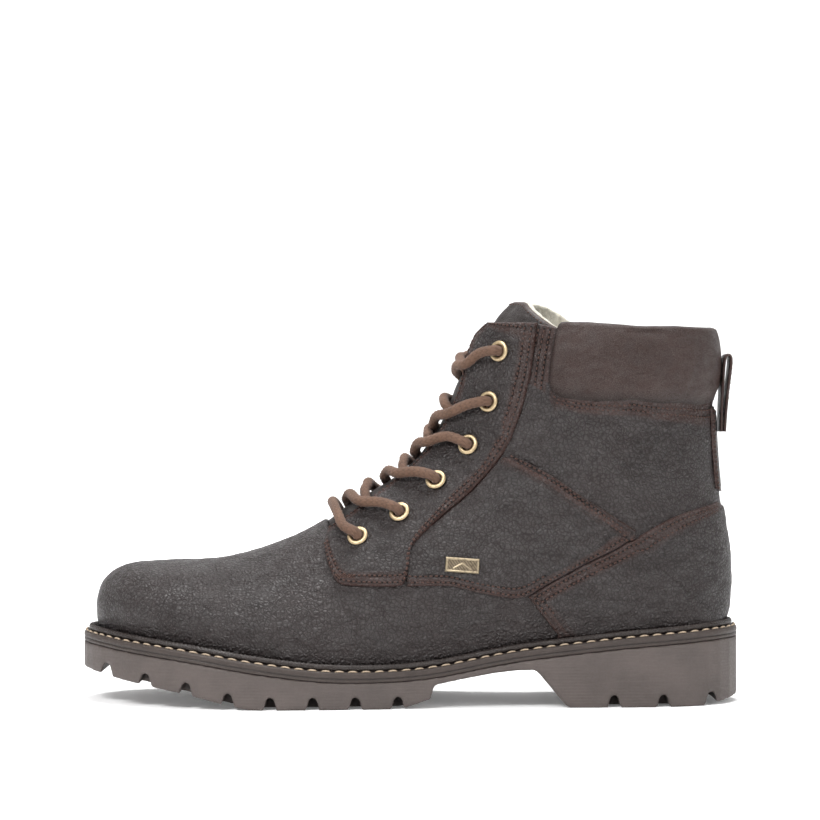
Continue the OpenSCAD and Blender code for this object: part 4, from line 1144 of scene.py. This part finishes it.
def inflate(ob, cols, rows, frames=18, most=0.0022):
    """Lets the pad's leather belly out between its seams, then keeps each point near home."""
    home = np.array([x.co for x in ob.data.vertices])
    held = ob.vertex_groups.new(name="held")
    keep = [0, 1, *range(rows - 9, rows)]
    pins = [i * rows + j for i in range(cols) for j in range(rows)
            if j in keep or i < 2 or i >= cols - 2]
    held.add([int(i) for i in pins], 1.0, "REPLACE")
    cloth = ob.modifiers.new("cloth", "CLOTH")
    s = cloth.settings
    s.vertex_group_mass = "held"
    s.use_pressure = True
    s.uniform_pressure_force = 4
    s.effector_weights.gravity = 0
    s.quality = 6
    s.tension_stiffness = 25
    s.compression_stiffness = 8
    s.bending_stiffness = 0.08
    s.shrink_min = -0.035
    cloth.collision_settings.use_collision = False
    cloth.point_cache.frame_start = 1
    cloth.point_cache.frame_end = frames
    scene = bpy.context.scene
    for f in range(1, frames + 1):
        scene.frame_set(f)
    now = ob.evaluated_get(bpy.context.evaluated_depsgraph_get())
    moved = np.array([x.co for x in now.data.vertices])
    ob.modifiers.remove(cloth)
    scene.frame_set(1)
    shift = (moved - home) * np.array([1.0, 1.0, 0.2])
    size = np.linalg.norm(shift, axis=1, keepdims=True)
    shift *= np.minimum(1, most / np.maximum(size, 1e-9))
    ob.data.vertices.foreach_set("co", (home + shift).ravel())
    ob.data.update()


def settle(ob):
    """Applies what modifiers an object has."""
    graph = bpy.context.evaluated_depsgraph_get()
    mesh = bpy.data.meshes.new_from_object(ob.evaluated_get(graph))
    old = ob.data
    ob.modifiers.clear()
    ob.data = mesh
    bpy.data.meshes.remove(old)


for side, word in SIDES.items():
    build_layer(side, "fleece_" + word, "lining_" + word, LINING_OUT, LINING_IN, 0, 1, m_fleece)
    build_layer(side, "wadding_" + word, "insulation_" + word, WADDING_OUT, WADDING_IN, 0.25, 0,
                m_wadding)
build_tongue()
build_collar()


# ---- Bottom ----
def build_sole():
    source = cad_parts["outsole"]
    ob = bpy.data.objects.new("lug_outsole", source.data.copy())
    bpy.context.scene.collection.objects.link(ob)
    ob.data.materials.clear()
    ob.data.materials.append(m_sole)
    solid = ob.modifiers.new("solid", "REMESH")
    solid.mode = "VOXEL"
    solid.voxel_size = 0.0009
    solid.use_smooth_shade = True
    soft = ob.modifiers.new("soft", "SMOOTH")
    soft.factor, soft.iterations = 0.5, 2
    settle(ob)
    mesh = ob.data
    n = len(mesh.vertices)
    co = np.empty(n * 3)
    mesh.vertices.foreach_get("co", co)
    co = co.reshape(-1, 3) / MM
    ns = np.empty(n * 3)
    mesh.vertices.foreach_get("normal", ns)
    ns = ns.reshape(-1, 3)
    side = np.clip(1.4 - np.abs(ns[:, 2]) * 3, 0, 1)
    rim = outline_points(0.0)
    d = np.full(n, FAR)
    for p in rim:
        d = np.minimum(d, np.hypot(co[:, 0] - p[0], co[:, 1] - p[1]))
    # Painted shade in the gaps between the lugs, kept as the deep mark.
    deep = np.clip((d - 1.5) / 3, 0, 1) * np.clip(1 - np.abs(ns[:, 2]) * 0.2, 0, 1)
    deep *= np.clip((feather(co[:, 0]) - 10 - co[:, 2]) / 2, 0, 1)
    ground = np.interp(co[:, 0], [-156, -72, -4, 9, 58, 72, 134, 156],
                       [16, 0, 0, 4, 16, 0, 0, 4])
    deep *= np.clip((co[:, 2] - ground - 0.8) / 2.5, 0, 1)
    for key, values in (("side", side), ("deep", deep * 0.8)):
        attribute = mesh.attributes.new(key, "FLOAT", "POINT")
        attribute.data.foreach_set("value", values.astype(np.float32))
    mesh.polygons.foreach_set("use_smooth", [True] * len(mesh.polygons))
    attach(ob, "boot")
    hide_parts("outsole")


def outline_points(inset, count=1100):
    a = np.linspace(0, OUTLINE_N, count, endpoint=False)
    return outline_at(a, np.full(count, inset))


def build_band(name, section, material, node, count=900, gather=0.0, marks_at=None):
    """Closed band round the sole; the section is a list of [inset, height over the feather]."""
    a = np.linspace(0, OUTLINE_N, count, endpoint=False)
    rows = []
    for inset, height in section:
        xy = outline_at(a, np.full(count, inset))
        z = feather(xy[:, 0]) + height
        rows.append(np.stack([xy[:, 0], xy[:, 1], z], 1))
    p = np.stack(rows, 1)
    if gather:
        run = lengths(np.concatenate([p[:, 0], p[:1, 0]]))[:-1]
        pleat = np.sin(run * 2 * math.pi / 1.9 + 1.2 * np.sin(run * 0.21))
        middle = np.clip(np.sin(np.linspace(0, math.pi, len(section))), 0, 1)
        p[..., 2] += gather * pleat[:, None] * middle
    faces = ring_faces(count, len(section), closed=True)
    blank = np.zeros(count * len(section))
    marks = {"edge": blank, "worn": blank, "side": blank, "deep": blank}
    if marks_at is not None:
        marks["deep"] = np.tile(np.array(marks_at), (count, 1)).ravel()
    ob = make(name, p.reshape(-1, 3), faces, material, marks=marks)
    mend_normals(ob)
    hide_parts(node)


def build_welt():
    t, b = WELT_TOP, WELT_BOTTOM
    section = [[0.9, b], [0.35, b + 0.25], [0.2, b + 0.9], [0.3, b + 1.5], [0.75, b + 1.75],
               [0.3, b + 2.0], [0.12, b + 2.6], [0.15, t - 1.2], [0.45, t - 0.45],
               [0.95, t - 0.12], [1.2, t - 0.5], [1.6, t - 0.5], [1.9, t - 0.1], [3.0, t],
               [12, t], [12, b]]
    # Painted shade in the groove along the welt's side and in the groove on its top beside the
    # bead, kept as the deep mark.
    dark = [0, 0, 0, 0.3, 1, 0.3, 0, 0, 0, 0.4, 1, 1, 0.4, 0, 0, 0]
    build_band("welt_strip", section, m_welt, "welt", marks_at=dark)
    g = np.linspace(-0.35, 1.15, 12) * math.pi
    bead = [[3.9 - 1.55 * math.cos(x), t + 1.6 + 1.5 * math.sin(x)] for x in g]
    bead = [[max(i, 2.2), max(h, t + 0.05)] for i, h in bead] + [[5.8, t + 0.6], [5.8, t + 0.05]]
    build_band("rand_bead", bead, m_rand, "rand", 1500, 0.16)
    seams = Seams("welt_stitches", m_welt_thread)
    count = 2400
    a = np.linspace(0, OUTLINE_N, count)
    xy = outline_at(a, np.full(count, 1.3))
    line = np.stack([xy[:, 0], xy[:, 1], feather(xy[:, 0]) + t + 0.1], 1)
    out = outline_at(a, np.full(count, 0.0)) - xy
    out /= np.linalg.norm(out, axis=1, keepdims=True)
    n = np.stack([out[:, 0] * 0.6, out[:, 1] * 0.6, np.full(count, 0.8)], 1)
    seams.add(line, n, 6.0, 0.72, sink=0.2, holes=False)
    ob = seams.build("welt_thread")
    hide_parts("welt_thread")


def build_footbed():
    rungs, cols = 170, 46
    toe, heel, inset = 1.35, 10.5, 15.6
    a = np.linspace(toe, heel, rungs)
    m = outline_at(a, np.full(rungs, inset))
    lat = outline_at(OUTLINE_N - a, np.full(rungs, inset))
    w = np.sin(np.linspace(-1, 1, cols) * math.pi / 2)
    xy = (m + lat)[:, None] / 2 + (m - lat)[:, None] / 2 * w[None, :, None]
    z0 = feather(xy[..., 0]) - 1.3
    edge = np.minimum((1 - np.abs(w))[None, :] * FOOTBED_MM_PER_W,
                      np.minimum(a - toe, heel - a)[:, None] * FOOTBED_MM_PER_A)
    top = z0 + 4.8 - rounding(edge, 2.6)
    p = np.concatenate([xy, top[..., None]], -1)
    top = top + 0.5 * ripple(p, 7, 51, 2) + 0.25 * ripple(p, 2.6, 53, 2) - 0.5
    up = np.concatenate([xy, top[..., None]], -1)
    down = np.concatenate([xy, z0[..., None]], -1)
    shell("footbed_fleece", "footbed", up, down, m_fleece, "footbed")


# ---- Lace and metal ----
BARREL_END = -0.9
LACE_R = 2.35
OVER = 2.75 + 0.3 + LACE_R + 0.35
UNDER = BARREL_END - LACE_R - 0.35
CROSS = {LATERAL: [6.95, 7.62, 8.35, 9.2, 12.9], MEDIAL: [7.32, 8.05, 8.95, 10.8, 13.4]}
TAIL_UP = [[14.05, 0.235], [13.7, 0.262], [13.2, 0.27], [12.6, 0.275], [11.6, 0.295],
           [10.5, 0.325], [9.9, 0.335]]


def eyelet_axis(i, side, o):
    return eyelet_frame(EYELETS[i], side, o)[0]


def edge_u(t):
    return float(table([[6.5, 0.25], [7.5, 0.17], [8.5, 0.14], [10, 0.13], [12.5, 0.12],
                        [14.2, 0.1], [15.5, 0.12]], t))


def strand(i, start):
    """Out of the inside of eyelet i on one side, over the tongue, into the next across."""
    to = -start
    a, b = place([EYELETS[i]], start)[0], place([EYELETS[i + 1]], to)[0]
    mid = CROSS[to][i]
    rest = float(tongue_out(mid, 0)) + LACE_R + 0.4
    ua, ub, ea, eb = abs(a[1]), abs(b[1]), edge_u(a[0]), edge_u(mid)
    ta, tb = a[0] + (mid - a[0]) * 0.5, mid + (b[0] - mid) * 0.3
    tc = mid + (b[0] - mid) * 0.72
    return [
        eyelet_axis(i, start, 1),
        eyelet_axis(i, start, UNDER + 1.3),
        skin(a[0] + (mid - a[0]) * 0.1, start * (ua - 0.03), UNDER - 0.35),
        skin(ta, start * (ea + 0.025), UNDER - 0.2),
        skin(ta + (mid - ta) * 0.4, start * (ea - 0.035), (UNDER + rest) / 2 + 0.1),
        skin(ta + (mid - ta) * 0.75, start * 0.045, rest - 0.2),
        skin(mid, 0, rest),
        skin(mid + (tb - mid) * 0.5, to * 0.07, (rest + OVER) / 2 + 0.6),
        skin(tb, to * (eb + 0.02), OVER),
        skin(tc, to * (eb + 0.6 * (ub - eb)), OVER + 0.3),
        eyelet_axis(i + 1, to, OVER + 0.6),
        eyelet_axis(i + 1, to, OVER - 1.6),
    ]


def lace_tail(side):
    tail = [eyelet_axis(5, side, 1), eyelet_axis(5, side, UNDER + 0.7)]
    return tail + [skin(t, side * u, UNDER - 0.3) for t, u in TAIL_UP]


def lace_path():
    def half(side):
        path = []
        for i, start in enumerate((side, -side, side, -side, side)):
            path += strand(i, start)
        return path + lace_tail(-side)

    bar_u = [-0.34, -0.25, -0.13, 0, 0.13, 0.25, 0.34]
    bar = [eyelet_axis(0, LATERAL, OVER - 1.6), eyelet_axis(0, LATERAL, OVER + 0.5)]
    bar += [skin(6.74 + 0.1 * abs(u), u, OVER + (0.1 if abs(u) > 0.2 else -0.6)) for u in bar_u]
    bar += [eyelet_axis(0, MEDIAL, OVER + 0.5), eyelet_axis(0, MEDIAL, OVER - 1.6)]
    return np.array(half(LATERAL)[::-1] + bar + half(MEDIAL))


def tube(path, radius, sides):
    """Tube along a path with a frame that doesn't twist; radius may vary by [ring, side]."""
    n = len(path)
    d = np.gradient(path, axis=0)
    d /= np.linalg.norm(d, axis=1, keepdims=True)
    u = np.empty_like(path)
    u[0] = np.cross(d[0], [0.3, 0.2, 0.9])
    u[0] /= np.linalg.norm(u[0])
    for i in range(1, n):
        w = u[i - 1] - d[i] * (u[i - 1] @ d[i])
        u[i] = w / np.linalg.norm(w)
    v = np.cross(d, u)
    g = np.arange(sides) * 2 * math.pi / sides
    spoke = np.cos(g)[None, :, None] * u[:, None] + np.sin(g)[None, :, None] * v[:, None]
    p = path[:, None] + spoke * np.asarray(radius)[..., None]
    ends = [face[::-1] for face in caps(n, sides)]
    return p.reshape(-1, 3), ring_faces(n, sides) + ends


def round_off(path, step=0.45, rounds=34):
    """Even, soft version of a path, its ends kept."""
    p = crom(path, np.linspace(0, len(path) - 1, len(path) * 12))
    return resample(soften(resample(p, step), rounds), step)


def build_lace():
    path = round_off(lace_path())
    s = lengths(path)
    sides, turns, plait = 48, 8, 6.4
    g = np.arange(sides) * 2 * math.pi / sides
    around, along = turns * g[None, :], s[:, None] * 2 * math.pi / plait * 2
    strands = [np.abs(np.sin((around + way * along) / 2)) for way in (1, -1)]
    weave = np.minimum(*strands) ** 0.7
    flat = 1 + 0.03 * np.sin(s * 0.13)[:, None]
    radius = (LACE_R - 0.24 + 0.3 * weave) * flat
    verts, faces = tube(path, radius, sides)
    # Painted shade in the valleys between the braid's strands.
    valley = np.clip(1 - weave * 2.4, 0, 1)
    ob = make("braided_lace", verts, faces, m_lace, marks={"valley": valley})
    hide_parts("lace")
    tips = [[], []]
    for side, end in ((LATERAL, 0), (MEDIAL, -1)):
        start = path[end]
        aim = skin(9.1, side * 0.36, UNDER - 0.3) - start
        aim /= np.linalg.norm(aim)
        x = np.array([0.4, 0.6, 1.2, 1.8, 2.4, 7, 12.2, 13, 13.6, 14, 14.2])
        r = np.array([1.2, 1.7, 1.78, 1.72, 1.8, 1.8, 1.75, 1.6, 1.25, 0.7, 0.2])
        v, f = tube(start + x[:, None] * aim, np.repeat(r[:, None], 24, 1), 24)
        tips[1] += [tuple(i + len(tips[0]) for i in face) for face in f]
        tips[0] += list(v)
    ob = make("lace_tips", np.array(tips[0]), tips[1], m_aglet)
    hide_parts("aglets")


def lathe(profile, frame_at, segments=48):
    centre, a, b, n = frame_at
    g = np.arange(segments) * 2 * math.pi / segments
    spoke = np.cos(g)[:, None] * a + np.sin(g)[:, None] * b
    p = np.array(profile)
    verts = centre + spoke[:, None] * p[None, :, 0:1] + n * p[None, :, 1:2]
    m = len(p)
    faces = []
    for i in range(segments):
        for k in range(m):
            j, q = (i + 1) % segments, (k + 1) % m
            faces.append((i * m + k, j * m + k, j * m + q, i * m + q))
    return verts.reshape(-1, 3), faces


def build_eyelets(side):
    low = FACING_OUT
    lip = [[3.7 + 1.1 * math.cos(x), low + 0.3 + 0.78 * math.sin(x)]
           for x in np.linspace(-0.25, 0.86, 12) * math.pi]
    throat = [[2.8, low + 0.35], [2.75, low - 0.2], [2.75, BARREL_END + 0.2], [2.85, BARREL_END]]
    outer = [[3.2, BARREL_END], [3.2, low - 0.1], [3.5, low - 0.02]]
    profile = lip + throat + outer
    valley = [0.0] * len(lip) + [0.5, 1, 1, 1] + [1, 1, 0.8]
    verts, faces, marks = [], [], []
    for p in EYELETS:
        v, f = lathe(profile, eyelet_frame(p, side, 0))
        faces += [tuple(i + len(verts) for i in face) for face in f]
        verts += list(v)
        marks += valley * 48
    name = SIDES[side]
    ob = make("eyelets_brass_" + name, np.array(verts), faces, m_brass, marks={"valley": marks})
    mend_normals(ob)
    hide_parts("eyelets_" + name)


def build_badge():
    centre, a, b, n = eyelet_frame([23.5, 64], LATERAL, OVERLAY_OUT + 0.15, (1, 0, -0.07))
    length, height = 15.4, 6.8
    x = np.linspace(-length / 2, length / 2, 100)
    y = np.linspace(-height / 2, height / 2, 46)
    xx, yy = np.meshgrid(x, y, indexing="ij")
    d = np.minimum(length / 2 - np.abs(xx), height / 2 - np.abs(yy))
    rim = np.clip(1.15 - np.abs(d - 0.55) / 0.45, 0, 1)
    hatch = 0.5 + 0.5 * np.sin((xx + yy * 0.8) * 2 * math.pi / 1.35)
    peak = np.clip(1.2 - np.abs(np.abs(xx) * 0.62 + yy - 0.9) / 0.42, 0, 1) * (np.abs(xx) < 4.2)
    inside = np.clip((d - 1.0) / 0.25, 0, 1)
    field = np.maximum(0.35 * hatch * (1 - peak), peak) * inside
    z = 0.62 + 0.34 * rim - rounding(d, 0.35) + 0.2 * field
    face = centre + xx[..., None] * a + yy[..., None] * b + z[..., None] * n
    back = centre + xx[..., None] * a + yy[..., None] * b
    valley = np.clip(inside * (1 - field * 1.6), 0, 1)
    shell("badge_plate", "badge", face, back, m_badge, marks={"valley": (valley, 0)})


LOOP_LINE = [
    [144.0, 124], [144.0, 132], [144.4, 142], [144.9, 150], [145.4, 156], [146.0, 158.8],
    [147.3, 159.6], [148.4, 158.4], [148.5, 156], [147.9, 150], [146.9, 142], [146.0, 132],
    [145.5, 124],
]


def build_loop():
    line = resample(crom(np.array(LOOP_LINE, float), np.linspace(0, 12, 200)), 0.8)
    n = len(line)
    d = np.gradient(line, axis=0)
    d /= np.linalg.norm(d, axis=1, keepdims=True)
    out = np.stack([-d[:, 1], d[:, 0]], 1)
    half, thick, r = 7.5, 1.3, 0.55
    y = np.concatenate([[-half, -half + 0.2, -half + 0.6],
                        np.linspace(-half + 1.2, half - 1.2, 14),
                        [half - 0.6, half - 0.2, half]])
    low = thick / 2 - rounding(half - np.abs(y), r) - 0.18 * groove(half - np.abs(y), 1.8)
    section = np.concatenate([np.stack([y, low], 1), np.stack([y, -low], 1)[::-1]])
    m = len(section)
    verts = np.empty((n, m, 3))
    verts[..., 0] = line[:, None, 0] + out[:, None, 0] * section[None, :, 1]
    verts[..., 1] = section[None, :, 0] - 0.5
    verts[..., 2] = line[:, None, 1] + out[:, None, 1] * section[None, :, 1]
    faces = ring_faces(n, m) + caps(n, m)
    edge = np.tile(np.exp(-(((half - np.abs(section[:, 0])) / 0.4) ** 2)), (n, 1))
    ob = make("pull_loop_strap", verts.reshape(-1, 3), faces, m_loop, "pull_loop",
              {"edge": edge, "worn": edge * 0.5})
    mend_normals(ob)
    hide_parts("pull_loop")
    seams = Seams("pull_loop_stitching", body="pull_loop")
    back = line[line[:, 0] > 146.5]
    back = back[back[:, 1] < 157]
    for v in (-half + 1.8, half - 1.8):
        p = np.stack([back[:, 0] + thick / 2 - 0.25, np.full(len(back), v - 0.5), back[:, 1]], 1)
        seams.add(p, np.tile([1.0, 0, 0], (len(back), 1)))
    seams.build("welt_thread")


build_sole()
build_welt()
build_footbed()
build_lace()
for side in SIDES:
    build_eyelets(side)
build_badge()
build_loop()

HIDDEN = {
    "insole_board": m_board, "bottom_filler": m_cork, "shank": m_steel, "toe_puff": m_stiff,
    "heel_counter": m_stiff, "insulation_forefoot": m_wadding, "lining_forefoot": m_fleece,
    "eyelet_washers_lateral": m_brass, "eyelet_washers_medial": m_brass,
}
for node, material in HIDDEN.items():
    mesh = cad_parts[node].data
    mesh.materials.clear()
    mesh.materials.append(material)


# ---- Studio ----
CAMERA_AT = (0, -1.3, 0.134)
CAMERA_LENS = 122.8
SENSOR = 36
GLOW = 0.12
# Name, place, aim, size and power
LIGHTS = [
    ("key", (-0.7, -1.1, 1.3), (0, 0, 0.08), (0.7, 0.6), 26),
    ("fill", (1.2, -1.2, 0.7), (0, 0, 0.08), (0.7, 0.8), 7),
    ("top", (0.1, 0.15, 1.4), (0, 0, 0.05), (0.8, 0.7), 27),
    ("back", (0, 1.3, 0.8), (0, 1.9, 0.2), (2.5, 0.8), 45),
]


def area_light(name, place_at, aim, size, power):
    data = bpy.data.lights.new(name, "AREA")
    data.shape = "RECTANGLE"
    data.size, data.size_y = size
    data.energy = power
    data.color = (1, 1, 1)
    ob = bpy.data.objects.new(name, data)
    bpy.context.scene.collection.objects.link(ob)
    ob.location = place_at
    ob.rotation_euler = (Vector(aim) - Vector(place_at)).to_track_quat("-Z", "Y").to_euler()


def build_studio():
    scene = bpy.context.scene
    camera = bpy.data.cameras.new("camera")
    camera.lens = CAMERA_LENS
    camera.sensor_width = SENSOR
    camera.dof.use_dof = False
    eye = bpy.data.objects.new("camera", camera)
    scene.collection.objects.link(eye)
    eye.location = CAMERA_AT
    eye.rotation_euler = (math.pi / 2, 0, 0)
    scene.camera = eye
    g = Graph("studio_white")
    paper = g.finish(Base_Color=(0.93, 0.93, 0.93), Roughness=0.9, Specular_IOR_Level=0.1,
                     Emission_Color=(1.0, 1.0, 1.0, 1.0), Emission_Strength=GLOW)
    flat, radius, rise, around = 2.4, 1.2, 3.6, 96
    bend = [[flat + radius * math.sin(x), radius * (1 - math.cos(x))]
            for x in np.linspace(0, math.pi / 2, 16)]
    line = np.array([[0.001, 0.0], [0.6, 0.0], *bend, [flat + radius, rise]]) / MM
    g = np.arange(around) * 2 * math.pi / around
    verts = [[r * math.cos(x), r * math.sin(x), z] for r, z in line for x in g]
    faces = [(i * around + k, i * around + (k + 1) % around, (i + 1) * around + (k + 1) % around,
              (i + 1) * around + k) for i in range(len(line) - 1) for k in range(around)]
    sweep = make("studio_floor", verts, faces, paper, None)
    world = bpy.data.worlds.new("studio")
    scene.world = world
    world.use_nodes = True
    back = world.node_tree.nodes["Background"]
    back.inputs["Color"].default_value = (1, 1, 1, 1)
    back.inputs["Strength"].default_value = GLOW
    for light in LIGHTS:
        area_light(*light)
    scene.view_settings.view_transform = "Standard"
    scene.view_settings.look = "None"


build_studio()
